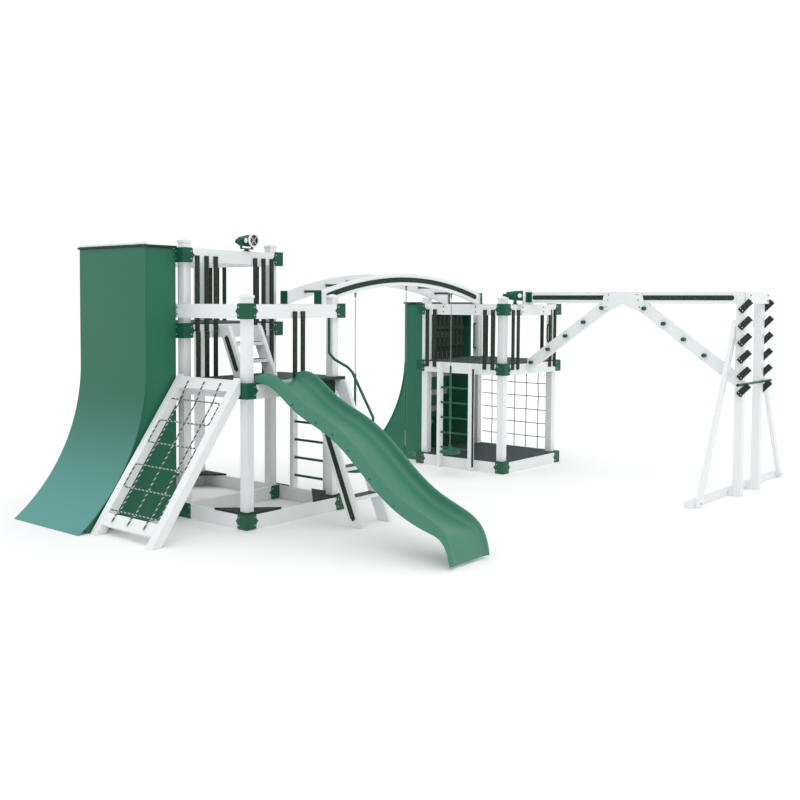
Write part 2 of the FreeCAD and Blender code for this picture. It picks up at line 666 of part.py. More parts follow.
# Grab handles on tower B's posts
handles = []
hx, hy = BX1 - HIP - 0.01, BY0 + BOARD_T + 2.0
handles.append(cable([(hx, hy, 71.0), (hx - 1.9, hy, 71.6), (hx - 2.6, hy, 73.5),
                      (hx - 2.6, hy, 79.0), (hx - 1.9, hy, 81.0), (hx, hy, 81.6)], 0.45)
               .common(box(hx - 10, hx, hy - 3, hy + 3, 60, 95)))
hy = BY1 - HIP + 2.0
handles.append(cable([(hx, hy, 66.0), (hx - 2.1, hy, 66.0), (hx - 2.1, hy, 81.0),
                      (hx, hy, 81.0)], 0.5).common(box(hx - 10, hx, hy - 3, hy + 3, 60, 95)))
save("grab_handles", handles)

# -------------------------------------------------------------- monkey bars
half_span = ARCH_SPAN / 2
ARCH_R = (half_span ** 2 + ARCH_RISE ** 2) / (2 * ARCH_RISE)
arch_cx = TOWER_W + half_span
arch_cz = ARCH_Z + ARCH_RISE - ARCH_R


def arch_height(x):
    """Height of the arch's middle line above a place between the towers."""
    return arch_cz + math.sqrt(ARCH_R ** 2 - (x - arch_cx) ** 2)


def arc_band(y0, y1, half_w, x_end, round_ends=0.0):
    """A curved board following the arch, half_w above and below its line."""
    reach = x_end - arch_cx
    a = math.asin(reach / ARCH_R)
    edges_ = []
    for radius, turn in ((ARCH_R + half_w, 1), (ARCH_R - half_w, -1)):
        pts = [V(arch_cx + radius * math.sin(turn * s * a), y0,
                 arch_cz + radius * math.cos(s * a)) * IN for s in (-1, 0, 1)]
        edges_.append(Part.Arc(*pts).toShape())
    joins = []
    for k in (0, 1):
        p, q = edges_[k].Vertexes[-1].Point, edges_[1 - k].Vertexes[0].Point
        if round_ends:
            side = 1 if k == 0 else -1
            tip = (p + q) * 0.5 + V(side * math.cos(a), 0, -math.sin(a)) * (round_ends * IN)
            joins.append(Part.Arc(p, tip, q).toShape())
        else:
            joins.append(Part.makeLine(p, q))
    wire = Part.Wire([edges_[0], joins[0], edges_[1], joins[1]])
    return Part.Face(wire).extrude(V(0, y1 - y0, 0) * IN)


rails, inserts, arch_brackets, arch_rungs = [], [], [], []
for mid, outer in zip(ARCH_Y, (-1, 1)):
    rail = arc_band(mid - 1, mid + 1, BOARD_H / 2, TOWER_W + ARCH_SPAN + 4)
    rail = rail.common(box(TOWER_W - BOARD_T, BX0 + BOARD_T, 0, 60,
                           LOW_DECK + RAIL_RISE + 0.02, 130))
    rails.append(rail)
    face = mid + outer
    y0, y1 = sorted((face, face + outer * INSERT_T))
    inserts.append(arc_band(y0, y1, INSERT_W / 2, BX0 - 3.5, INSERT_W / 2))
    for x, inward in ((TOWER_W - BOARD_T, -1), (BX0 + BOARD_T, 1)):
        z0 = LOW_DECK + RAIL_RISE
        a, b = sorted((x, x + inward * 0.25))
        arch_brackets.append(box(a, b, mid - 2.0, mid + 2.6, z0 + 0.05, z0 + 6.2))
        a, b = sorted((x - inward * 0.02, x - inward * 4.0))
        arch_brackets.append(box(a, b, mid + 1.02, mid + 1.27, z0 + 0.05, z0 + 6.0))
        for z in (1.6, 4.6):
            screw((a + b) / 2, mid + 1.27, z0 + z, (0, 1, 0))
for k in range(RUNG_COUNT):
    x = arch_cx + RUNG_PITCH * (k - (RUNG_COUNT - 1) / 2)
    arch_rungs.append(rod((x, ARCH_Y[0] + 1.01, arch_height(x)), (0, 1, 0), RUNG_R,
                          ARCH_Y[1] - ARCH_Y[0] - 2.02))
save("arch_rails", rails)
save("arch_rungs", arch_rungs)

# Bolts that tie the arch through the towers' side rails
for mid in ARCH_Y:
    for dz in (1.7, 4.4):
        bolt((BX0, mid + 0.8, low_rail + dz), (-1, 0, 0))
        bolt((TOWER_W, mid + 0.8, low_rail + dz), (1, 0, 0))

# ------------------------------------------------------------ disc swings
# Each hanger's ears carry a pin, a swivel turns on it, and the chain's top
# eye turns on the swivel's own cross pin. Sizes of the small fittings in mm.
EAR_GAP = 12.0
EAR_T = 5.0
PIN_MM = 4.0
FIT = 0.05
LINK_R = 2.2
hangers = []


def mm_box(cx, cy, z0, z1, lx, ly):
    return Part.makeBox(lx, ly, z1 - z0, V(cx - lx / 2, cy - ly / 2, z0))


def mm_rod(cx, cy, cz, axis, radius, length):
    a = V(*axis)
    return Part.makeCylinder(radius, length, V(cx, cy, cz) - a * (length / 2), a)


def chain(cx, cy, z_top, z_low):
    """Welded links as stretched rings, each turned a quarter from the last."""
    pitch, reach = 26.0, 17.5
    count = max(2, int(round((z_top - z_low - 2 * (reach - LINK_R)) / pitch)) + 1)
    pitch = (z_top - z_low - 2 * reach) / (count - 1)
    links = []
    for k in range(count):
        z = z_top - reach - k * pitch
        w = 7.0
        side = reach - w - LINK_R
        wire = [Part.Face(Part.Wire(Part.makeCircle(LINK_R, V(cx + s * w, cy, z + h))))
                for s, h in ((1, -side), (1, side), (-1, -side))]
        ring = [wire[1].revolve(V(cx, cy, z + side), V(0, 1, 0), -180),
                wire[0].revolve(V(cx, cy, z - side), V(0, 1, 0), 180),
                wire[2].extrude(V(0, 0, 2 * side))]
        link = wire[0].extrude(V(0, 0, 2 * side)).fuse(ring)
        if k % 2:
            link.rotate(V(cx, cy, z), V(0, 0, 1), 90)
        links.append(link)
    return links


for n in (-1, 0, 1):
    name = "swing_%d" % (n + 2)
    cx = (arch_cx + n * SWING_PITCH) * IN
    cy = (ARCH_Y[0] + 0.2) * IN
    under = (arch_height(arch_cx + n * SWING_PITCH) - BOARD_H / 2) * IN
    tilt = abs(n) * 3.6
    zp = under - 24.0 - tilt
    plate = mm_box(cx, cy, under - 6.0 - tilt, under - tilt - 0.9, 34, 34)
    ears = [mm_box(cx, cy + s * (EAR_GAP + EAR_T) / 2, zp - 9, under - 5.0 - tilt, 18, EAR_T)
            for s in (-1, 1)]
    pin = mm_rod(cx, cy, zp, (0, 1, 0), PIN_MM, EAR_GAP + 2 * EAR_T + 6)
    hangers.append(plate.fuse(ears + [pin]).removeSplitter())
    low = zp - 26.0
    lug = mm_rod(cx, cy, zp, (0, 1, 0), 9.0, EAR_GAP - 1.0)
    web = mm_box(cx, cy, low + 9.0, zp - 4.0, 12, EAR_GAP - 1.0)
    head = mm_box(cx, cy, low + 8.5, low + 13.5, 26, EAR_GAP - 1.0)
    cheeks = [mm_box(cx + s * 10.5, cy, low - 8, low + 9, 5, EAR_GAP - 1.0) for s in (-1, 1)]
    cross = mm_rod(cx, cy, low, (1, 0, 0), PIN_MM, 30)
    body = lug.fuse([web, head, cross] + cheeks)
    body = body.cut(mm_rod(cx, cy, zp, (0, 1, 0), PIN_MM + FIT, 40)).removeSplitter()
    save(name + "_swivel", [body])
    eye = mm_rod(cx, cy, low, (1, 0, 0), 7.6, 9.0)
    eye = eye.fuse(mm_box(cx, cy, low - 15.0, low - 5.0, 9.0, 5.0))
    eye = eye.cut(mm_rod(cx, cy, low, (1, 0, 0), PIN_MM + FIT, 20)).removeSplitter()
    sleeve_top, sleeve_low = under - 39.0 * IN, under - 73.6 * IN
    hub_top, disc_top = under - 81.2 * IN, under - DISC_DROP * IN
    links = chain(cx, cy, low - 15.3, sleeve_top + 0.3)
    links += chain(cx, cy, sleeve_low - 0.3, hub_top + 0.3)
    save(name + "_chain", [eye] + links)
    sleeve = Part.makeCylinder(15.5, sleeve_top - sleeve_low, V(cx, cy, sleeve_low))
    core = Part.makeCylinder(11.0, sleeve_top - sleeve_low - 60, V(cx, cy, sleeve_low - 1))
    top_bore = Part.makeCylinder(11.0, 30, V(cx, cy, sleeve_top - 30))
    r = DISC_R * IN
    prof = [(0, -56.0), (r - 28, -56.0), (r - 8, -52.0), (r, -38.0), (r - 2, -18.0),
            (r - 14, -6.0), (r - 34, -3.0), (40, -4.0), (30, 4.0), (22, 30.0), (20, 62.0),
            (14, 78.0), (0, 78.0)]
    pts = [V(cx + u, cy, disc_top + v) for u, v in prof]
    disc = Part.Face(Part.makePolygon(pts + pts[:1])).revolve(V(cx, cy, 0), V(0, 0, 1), 360)
    save(name + "_seat", [sleeve.cut(core).cut(top_bore), disc])
save("swing_hangers", hangers)

# -------------------------------------------------------------- telescopes
# Sizes in mm: a turntable base, a forked yoke and a barrel on trunnions.


def telescope(name, cx, cy, z0, heading):
    """One telescope standing at z0, its barrel looking towards the heading."""
    base = Part.makeCylinder(44, 9, V(0, 0, 0)).fuse(Part.makeCylinder(26, 16, V(0, 0, 0)))
    base = base.fuse(Part.makeCylinder(8, 34, V(0, 0, 0))).removeSplitter()
    yoke = Part.makeCylinder(28, 16, V(0, 0, 16.4))
    yoke = yoke.fuse([Part.makeBox(180, 34, 12, V(-90, -17, 26)),
                      Part.makeBox(10, 34, 98, V(-90, -17, 26)),
                      Part.makeBox(10, 34, 98, V(80, -17, 26)),
                      Part.makeCylinder(17, 10, V(-90, 0, 124), V(1, 0, 0)),
                      Part.makeCylinder(17, 10, V(80, 0, 124), V(1, 0, 0))])
    yoke = yoke.cut(Part.makeCylinder(8 + FIT, 40, V(0, 0, 10)))
    yoke = yoke.cut(Part.makeCylinder(9 + FIT, 220, V(-110, 0, 124), V(1, 0, 0)))
    yoke = yoke.removeSplitter()
    prof = [(0, 128), (30, 128), (36, 120), (40, 70), (58, 44), (66, 10), (70, -60),
            (72, -108), (66, -118), (60, -118), (60, -60), (56, 8), (48, 38), (32, 66),
            (27, 118), (0, 118)]
    pts = [V(u, v, 124) for u, v in prof]
    tube_ = Part.Face(Part.makePolygon(pts + pts[:1])).revolve(V(0, 0, 124), V(0, 1, 0), 360)
    tube_ = tube_.fuse([Part.makeCylinder(9, 40, V(x, 0, 124), V(1, 0, 0)) for x in (-98, 58)])
    tube_ = tube_.removeSplitter()
    ring = Part.makeCylinder(81, 22, V(0, -134, 124), V(0, 1, 0))
    ring = ring.cut(Part.makeCylinder(62, 30, V(0, -140, 124), V(0, 1, 0)))
    ring = ring.cut(Part.makeCylinder(72.2, 30, V(0, -126, 124), V(0, 1, 0)))
    lens = Part.makeCylinder(59.6, 10, V(0, -114, 124), V(0, 1, 0))
    eye = Part.makeCylinder(24, 34, V(0, 128.3, 124), V(0, 1, 0))
    eye = eye.fuse(Part.makeCylinder(29, 8, V(0, 162, 124), V(0, 1, 0))).removeSplitter()
    badge = Part.makeCylinder(30, 3, V(-72.4, -66, 124), V(-1, 0, 0))
    badge = badge.cut(tube_)
    sets = {"_base": [base], "_yoke": [yoke], "_barrel": [tube_],
            "_trim": [ring, lens, eye, badge]}
    placed = {}
    for key, shapes in sets.items():
        placed[key] = []
        for shape in shapes:
            copy = turned(shape, (0, 0, 0), (0, 0, 1), heading)
            copy.translate(V(cx * IN, cy * IN, z0 * IN))
            placed[key].append(copy)
    for key in ("_yoke", "_barrel", "_trim"):
        save(name + key, placed[key])
    return placed["_base"][0]


tele_a = telescope("telescope_a", 38.0, LOW_BAY + 1.0, WALL_A_TOP, 0)
tele_b = telescope("telescope_b", BX0 + 11.5, BY0 + 1.0, WALL_B_TOP, 30)
save("telescope_bases", [tele_a, tele_b])

# ------------------------------------------------- peg beam and salmon ladder
BEAM_T = 4.0
beam_far = SALMON_Y + POST / 2
x_face = BEAM_X - BEAM_T / 2
beam = box(x_face, BEAM_X + BEAM_T / 2, beam_far + 0.02, BY0 - 0.02, BEAM_Z0,
           BEAM_Z0 + BOARD_H)
save("peg_beam", [beam])


def side_insert(x0, x1, y0, y1, z):
    r = INSERT_W / 2
    bar = box(x0, x1, y0 + r, y1 - r, z - r, z + r)
    ends = [rod((x0, y, z), (1, 0, 0), r, x1 - x0) for y in (y0 + r, y1 - r)]
    return bar.fuse(ends).removeSplitter()


insert_z = BEAM_Z0 + BOARD_H / 2
for x0 in (x_face - INSERT_T, BEAM_X + BEAM_T / 2):
    inserts.append(side_insert(x0, x0 + INSERT_T, beam_far + 1.0, BY0 - 2.9, insert_z))
save("rail_inserts", inserts)

# Round-topped block and doubling board that take the beam on tower B
rail_top = low_rail + BOARD_H + 0.02
dome = front_plate([(BEAM_X - 5, rail_top), (BEAM_X + 3.5, rail_top), (BEAM_X + 3.5, 98.2),
                    (BEAM_X - 5, 98.2)], BY0 + 0.02, BY0 + BOARD_T)
dome = dome.fuse(rod((BEAM_X - 0.75, BY0 + 0.02, 98.2), (0, 1, 0), 4.25, BOARD_T - 0.02))
doubler = front_plate([(BX0 + 14.2, low_rail + 6), (BX0 + 46.0, low_rail + 6),
                       (BX0 + 46.0, low_rail), (BX0 + 15.2, low_rail),
                       (BX0 + 14.2, low_rail + 1.5)], BY0 - 1.5, BY0 - 0.02)
for x in (BEAM_X - 10.0, BEAM_X + 12.0):
    for dz in (1.9, 4.6):
        bolt((x, BY0 - 1.5, low_rail + dz), (0, -1, 0))
lug = box(x_face - 2.6, x_face, BY0 - 0.25, BY0 + 0.02, BEAM_Z0 + 0.3, BEAM_Z0 + BOARD_H)
lug = lug.fuse(box(x_face - 0.25, x_face, BY0 - 2.4, BY0, BEAM_Z0 + 0.3, BEAM_Z0 + BOARD_H))
arch_brackets.append(lug.removeSplitter())
save("beam_brackets", arch_brackets)

# Two sloping boards with climbing pegs, tied to the beam by a plate
PEG_MID = -61.7
PEG_SLOPE = 0.715
PEG_GAP = 10.75
PEG_FIRST = 11.9
PEG_TOP = 91.4
rise_half = BOARD_H / 2 / math.cos(math.atan(PEG_SLOPE))
peg_boards, pegs = [], []


def peg_height(run):
    return PEG_TOP - PEG_SLOPE * (run - PEG_FIRST)


for way in (-1, 1):
    far = (beam_far + 0.02) if way < 0 else BY0 - 0.02
    reach = abs(far - PEG_MID)
    outline = [(PEG_MID + way * 0.5, peg_height(0.5) + rise_half),
               (far, peg_height(reach) + rise_half), (far, peg_height(reach) - rise_half),
               (PEG_MID + way * 0.5, peg_height(0.5) - rise_half)]
    board = side_plate(outline, x_face, x_face + BOARD_T)
    board = board.cut(box(x_face - 1, x_face + 5, -130, 10, BEAM_Z0 - 0.02, 120))
    for k in range(5):
        run = PEG_FIRST + PEG_GAP * k
        hole = rod((x_face - 3, PEG_MID + way * run, peg_height(run)), (1, 0, 0), 0.66, 8)
        board = board.cut(hole)
        at = (PEG_MID + way * run, peg_height(run))
        peg = rod((x_face - 1.0, *at), (1, 0, 0), 0.655, BOARD_T + 2.0)
        for x0 in (x_face - 2.2, x_face + BOARD_T + 0.03):
            peg = peg.fuse(rod((x0, *at), (1, 0, 0), 1.0, 2.17))
        pegs.append(peg.removeSplitter())
    peg_boards.append(board)
save("peg_boards", peg_boards)
save("climbing_pegs", pegs)
plate_out = [(PEG_MID + 10.5, BEAM_Z0 + BOARD_H), (PEG_MID - 10.5, BEAM_Z0 + BOARD_H),
             (PEG_MID - 12.5, BEAM_Z0 - 3.6), (PEG_MID - 6.5, BEAM_Z0 - 3.6),
             (PEG_MID, BEAM_Z0 - 0.3), (PEG_MID + 6.5, BEAM_Z0 - 3.6),
             (PEG_MID + 12.5, BEAM_Z0 - 3.6)]
apex = side_plate(plate_out, x_face - 0.85, x_face - 0.3)
for way in (-1, 1):
    apex = apex.cut(rod((x_face - 2, PEG_MID + way * PEG_FIRST, PEG_TOP), (1, 0, 0), 1.06, 4))
save("beam_mounts", [dome.removeSplitter(), doubler, apex])
for y, z in ((8.0, 4.6), (-8.0, 4.6), (9.4, -1.8), (-9.4, -1.8), (8.6, 1.8), (-8.6, 1.8)):
    bolt((x_face - 0.85, PEG_MID + y, BEAM_Z0 + z), (-1, 0, 0), 0.3, 0.22)

salmon_posts = [box(x - POST / 2, x + POST / 2, SALMON_Y - POST / 2, SALMON_Y + POST / 2,
                    0, SALMON_TOP) for x in SALMON_XS]
save("salmon_posts", salmon_posts)
cross_y = SALMON_Y - POST / 2
cross = box(SALMON_XS[0] - 1.5, SALMON_XS[1] + 2, cross_y - BOARD_T, cross_y - 0.02,
            SALMON_TOP - BOARD_H, SALMON_TOP)
for x in (SALMON_XS[1], SALMON_XS[0] + 0.6):
    for dz in (1.8, 4.4):
        bolt((x, cross_y - BOARD_T, SALMON_TOP - dz), (0, -1, 0))

# Sloping hook boards on the outer faces of both posts
hooks = []
for x0, out in ((SALMON_XS[0] - POST / 2 - HOOK_T - 0.02, -1),
                (SALMON_XS[1] + POST / 2 + 0.02, 1)):
    for k in range(HOOK_COUNT):
        sy, sz = SALMON_Y - HOOK_FOOT, 90.4 - HOOK_PITCH * k
        end = (sy - HOOK_L * DIAG, sz + HOOK_L * DIAG)
        n = HOOK_W / 2 * DIAG
        outline = [(sy - n, sz - n), (sy + n, sz + n), (end[0] + n, end[1] + n),
                   (end[0] - n, end[1] - n)]
        hooks.append(side_plate(outline, x0, x0 + HOOK_T))
        face = x0 if out < 0 else x0 + HOOK_T
        for d in (-0.75, 0.75):
            screw(face, sy - 0.9 + d * DIAG, sz + 0.9 + d * DIAG, (out, 0, 0))
save("salmon_hooks", hooks)

# The loose bar lies in the notch between the lowest hooks and the posts
BAR_R = 0.66
low_z = 90.4 - HOOK_PITCH * (HOOK_COUNT - 1)
bar_y = cross_y - BAR_R - 0.02
top_edge = (SALMON_Y - HOOK_FOOT + HOOK_W / 2 * DIAG, low_z + HOOK_W / 2 * DIAG)
bar_z = top_edge[1] + (top_edge[0] - bar_y) + (BAR_R + 0.015) / DIAG
bar_mid = (SALMON_XS[0] + SALMON_XS[1]) / 2
BAR_HALF = 22.5
save("salmon_bar", [rod((bar_mid - BAR_HALF + 1.2, bar_y, bar_z), (1, 0, 0), BAR_R,
                        2 * BAR_HALF - 2.4)])
save("salmon_bar_caps", [rod((bar_mid - BAR_HALF, bar_y, bar_z), (1, 0, 0), BAR_R + 0.12, 1.2),
                         rod((bar_mid + BAR_HALF - 1.2, bar_y, bar_z), (1, 0, 0),
                             BAR_R + 0.12, 1.2)])

# A-frame behind the posts: ground rail, two leaning legs and spacers
leg_y1 = SALMON_Y + POST / 2 + BOARD_T
GROUND_RAIL_H = 2.6
frame_parts = [box(FRAME_MID - FRAME_HALF, FRAME_MID + FRAME_HALF, leg_y1 + 0.02,
                   leg_y1 + POST, 0, GROUND_RAIL_H), cross]
for side in (-1, 1):
    foot, top = FRAME_MID + side * (FRAME_HALF - 4.5), FRAME_MID + side * 13.2
    outline = [(foot - 2.1, 0), (foot + 2.1, 0), (top + 2.1, 86.0), (top - 2.1, 86.0)]
    frame_parts.append(front_plate(outline, leg_y1 - BOARD_T + 0.02, leg_y1))
    bolt((foot + side * -0.4, leg_y1 - BOARD_T + 0.02, 1.8), (0, -1, 0), 0.3, 0.22)
for x in SALMON_XS:
    frame_parts.append(box(x - 2, x + 2, leg_y1 - BOARD_T + 0.02, leg_y1, 0, POST))
save("a_frame", frame_parts)

# Two bolts tie tower A's low side rails to the high bay's front posts
for z0 in (LOW_DECK - BOARD_H, low_rail):
    for z in (1.7, 4.3):
        bolt((TOWER_W, LOW_BAY + HIP - 2.0, z0 + z), (1, 0, 0), 0.3, 0.22)
        bolt((0, LOW_BAY + HIP - 2.0, z0 + z), (-1, 0, 0), 0.3, 0.22)
save("bracket_screws", screws)
save("frame_bolts", bolts)
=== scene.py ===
"""Play set with arched monkey bars: the looks of every piece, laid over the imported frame."""
import json
import math
import random

import bmesh
import bpy
from mathutils import Matrix, Vector


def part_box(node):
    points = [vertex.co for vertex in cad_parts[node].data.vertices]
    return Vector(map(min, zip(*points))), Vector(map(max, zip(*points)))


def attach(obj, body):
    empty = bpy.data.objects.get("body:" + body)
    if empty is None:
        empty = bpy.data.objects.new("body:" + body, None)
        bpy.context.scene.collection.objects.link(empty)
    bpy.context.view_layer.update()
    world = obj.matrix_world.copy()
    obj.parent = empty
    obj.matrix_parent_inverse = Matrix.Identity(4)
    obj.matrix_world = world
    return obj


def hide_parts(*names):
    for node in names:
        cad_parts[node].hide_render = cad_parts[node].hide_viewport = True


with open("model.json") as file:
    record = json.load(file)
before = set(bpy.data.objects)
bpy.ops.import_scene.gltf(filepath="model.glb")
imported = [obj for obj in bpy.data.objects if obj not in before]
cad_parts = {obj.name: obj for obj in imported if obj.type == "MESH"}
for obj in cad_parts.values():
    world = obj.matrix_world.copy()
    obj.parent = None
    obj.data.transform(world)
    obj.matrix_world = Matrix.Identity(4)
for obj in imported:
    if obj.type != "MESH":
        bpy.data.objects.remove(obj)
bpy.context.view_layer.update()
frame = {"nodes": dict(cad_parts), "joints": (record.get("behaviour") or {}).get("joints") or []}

# ------------------------------------------------------------ camera and studio
# A tall tripod stands off the slide side, level with the low railings. The
# floor is a wide pale sheet and the light is one soft sky with a gentle sun.
INCH = 0.0254
seat_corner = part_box("corner_seats")[0]
CORNER = Vector((seat_corner.x - 0.3 * INCH, seat_corner.y - 0.3 * INCH, 0.0))


def spot(x, y, z):
    """A place in inches from the ground under tower A's front left corner."""
    return CORNER + Vector((x, y, z)) * INCH


YAW = math.radians(40.646)
PITCH = math.radians(-2.902)
ROLL = math.radians(0.266)
ahead = Vector((math.cos(YAW) * math.cos(PITCH), math.sin(YAW) * math.cos(PITCH), math.sin(PITCH)))
level = ahead.cross(Vector((0, 0, 1))).normalized()
upright = level.cross(ahead)
right = level * math.cos(ROLL) + upright * math.sin(ROLL)
over = right.cross(ahead)
camera = bpy.data.objects.new("camera", bpy.data.cameras.new("camera"))
camera.data.lens = 45.364
camera.data.shift_x = 0.0433
camera.data.shift_y = -0.0599
camera.data.clip_end = 200
camera.matrix_world = Matrix.Translation(spot(-279.11, -303.40, 94.55)) @ Matrix(
    (right, over, -ahead)).transposed().to_4x4()
bpy.context.scene.collection.objects.link(camera)
bpy.context.scene.camera = camera
bpy.context.scene.view_settings.view_transform = "Standard"

FLOOR_SIZE = 60.0
FLOOR_DROP = 0.001
bm = bmesh.new()
bmesh.ops.create_grid(bm, x_segments=1, y_segments=1, size=FLOOR_SIZE)
mesh = bpy.data.meshes.new("floor")
bm.to_mesh(mesh)
bm.free()
floor = bpy.data.objects.new("floor", mesh)
floor.location.z = -FLOOR_DROP
bpy.context.scene.collection.objects.link(floor)
pale = bpy.data.materials.new("pale_floor")
pale.use_nodes = True
pale.node_tree.nodes["Principled BSDF"].inputs["Base Color"].default_value = (0.98, 0.98, 0.98, 1)
pale.node_tree.nodes["Principled BSDF"].inputs["Roughness"].default_value = 1.0
pale.node_tree.nodes["Principled BSDF"].inputs["Specular IOR Level"].default_value = 0.0
floor.data.materials.append(pale)

world = bpy.data.worlds.new("studio_sky")
world.use_nodes = True
world.node_tree.nodes["Background"].inputs["Color"].default_value = (0.985, 0.995, 1.0, 1)
world.node_tree.nodes["Background"].inputs["Strength"].default_value = 1.04
bpy.context.scene.world = world
sun = bpy.data.objects.new("soft_sun", bpy.data.lights.new("soft_sun", "SUN"))
sun.data.energy = 0.4
sun.data.angle = math.radians(35)
sun.rotation_euler = (math.radians(42), 0, math.radians(-48))
bpy.context.scene.collection.objects.link(sun)

# ------------------------------------------------------- posts, caps and boards
# Treated timber posts and boards, each in a smooth white vinyl sleeve. Posts and
# their pyramid caps have softly rounded edges; boards that meet keep square ones.
VINYL = (0.79, 0.815, 0.82, 1)
WELD_GAP = 0.00005
FLAT_ANGLE = math.radians(0.4)
SHARP_ANGLE = math.radians(35)
BEVEL_ANGLE = math.radians(40)


def build_aged_skin():
    """Group: a moulded skin's uneven colour, gloss, fine grain and ground dust."""
    group = bpy.data.node_groups.new("aged_skin", "ShaderNodeTree")
    for label, kind, value in (
            ("Colour", "NodeSocketColor", (0.8, 0.8, 0.8, 1)), ("Mottle", "NodeSocketFloat", 0.05),
            ("Mottle Scale", "NodeSocketFloat", 2.0), ("Gloss Loss", "NodeSocketFloat", 0.4),
            ("Gloss Spread", "NodeSocketFloat", 0.1), ("Grain Scale", "NodeSocketFloat", 400.0),
            ("Grain Depth", "NodeSocketFloat", 0.1), ("Dust", "NodeSocketFloat", 0.2)):
        socket = group.interface.new_socket(label, in_out="INPUT", socket_type=kind)
        socket.default_value = value
    for label, kind in (("Colour", "NodeSocketColor"), ("Roughness", "NodeSocketFloat"),
                        ("Normal", "NodeSocketVector")):
        group.interface.new_socket(label, in_out="OUTPUT", socket_type=kind)
    add, link = group.nodes.new, group.links.new
    given, out = add("NodeGroupInput"), add("NodeGroupOutput")
    place = add("ShaderNodeTexCoord").outputs["Object"]
    broad = add("ShaderNodeTexNoise")
    broad.inputs["Detail"].default_value = 5
    link(place, broad.inputs["Vector"])
    link(given.outputs["Mottle Scale"], broad.inputs["Scale"])
    centred = add("ShaderNodeMath")
    centred.operation = "MULTIPLY_ADD"
    centred.inputs[1].default_value = 2.0
    centred.inputs[2].default_value = -1.0
    link(broad.outputs["Fac"], centred.inputs[0])
    sway = add("ShaderNodeMath")
    sway.operation = "MULTIPLY_ADD"
    sway.inputs[2].default_value = 1.0
    link(centred.outputs[0], sway.inputs[0])
    link(given.outputs["Mottle"], sway.inputs[1])
    tint = add("ShaderNodeHueSaturation")
    link(sway.outputs[0], tint.inputs["Value"])
    link(given.outputs["Colour"], tint.inputs["Color"])
    streaks = add("ShaderNodeTexNoise")
    streaks.inputs["Scale"].default_value = 9
    stretch = add("ShaderNodeMapping")
    stretch.inputs["Scale"].default_value = (1, 1, 0.25)
    link(place, stretch.inputs["Vector"])
    link(stretch.outputs["Vector"], streaks.inputs["Vector"])
    height = add("ShaderNodeSeparateXYZ")
    link(place, height.inputs["Vector"])
    low = add("ShaderNodeMapRange")
    low.inputs["From Min"].default_value = 0.0
    low.inputs["From Max"].default_value = 0.45
    low.inputs["To Min"].default_value = 1.0
    low.inputs["To Max"].default_value = 0.0
    link(height.outputs["Z"], low.inputs["Value"])
    patch = add("ShaderNodeMath")
    patch.operation = "MULTIPLY"
    link(low.outputs["Result"], patch.inputs[0])
    link(streaks.outputs["Fac"], patch.inputs[1])
    mask = add("ShaderNodeMath")
    mask.operation = "MULTIPLY"
    link(patch.outputs[0], mask.inputs[0])
    link(given.outputs["Dust"], mask.inputs[1])
    dusty = add("ShaderNodeMix")
    dusty.data_type = "RGBA"
    dusty.inputs["B"].default_value = (0.42, 0.38, 0.32, 1)
    link(mask.outputs[0], dusty.inputs["Factor"])
    link(tint.outputs["Color"], dusty.inputs["A"])
    link(dusty.outputs["Result"], out.inputs["Colour"])
    rough = add("ShaderNodeMath")
    rough.operation = "MULTIPLY_ADD"
    link(centred.outputs[0], rough.inputs[0])
    link(given.outputs["Gloss Spread"], rough.inputs[1])
    link(given.outputs["Gloss Loss"], rough.inputs[2])
    dull = add("ShaderNodeMath")
    dull.operation = "ADD"
    dull.use_clamp = True
    link(rough.outputs[0], dull.inputs[0])
    link(mask.outputs[0], dull.inputs[1])
    link(dull.outputs[0], out.inputs["Roughness"])
    fine = add("ShaderNodeTexNoise")
    fine.inputs["Detail"].default_value = 2
    link(place, fine.inputs["Vector"])
    link(given.outputs["Grain Scale"], fine.inputs["Scale"])
    bump = add("ShaderNodeBump")
    bump.inputs["Distance"].default_value = 0.0006
    link(given.outputs["Grain Depth"], bump.inputs["Strength"])
    link(fine.outputs["Fac"], bump.inputs["Height"])
    link(bump.outputs["Normal"], out.inputs["Normal"])
    return group


AGED_SKIN = build_aged_skin()


def skin_material(name, colour, coat=0.0, specular=0.5, **values):
    """A moulded or painted finish: the shared aged skin with this finish's own values."""
    material = bpy.data.materials.new(name)
    material.use_nodes = True
    tree = material.node_tree
    shader = tree.nodes["Principled BSDF"]
    skin = tree.nodes.new("ShaderNodeGroup")
    skin.node_tree = AGED_SKIN
    skin.inputs["Colour"].default_value = colour
    for label, value in values.items():
        skin.inputs[label.replace("_", " ").title()].default_value = value
    tree.links.new(skin.outputs["Colour"], shader.inputs["Base Color"])
    tree.links.new(skin.outputs["Roughness"], shader.inputs["Roughness"])
    tree.links.new(skin.outputs["Normal"], shader.inputs["Normal"])
    shader.inputs["Coat Weight"].default_value = coat
    shader.inputs["Coat Roughness"].default_value = 0.25
    shader.inputs["Specular IOR Level"].default_value = specular
    return material


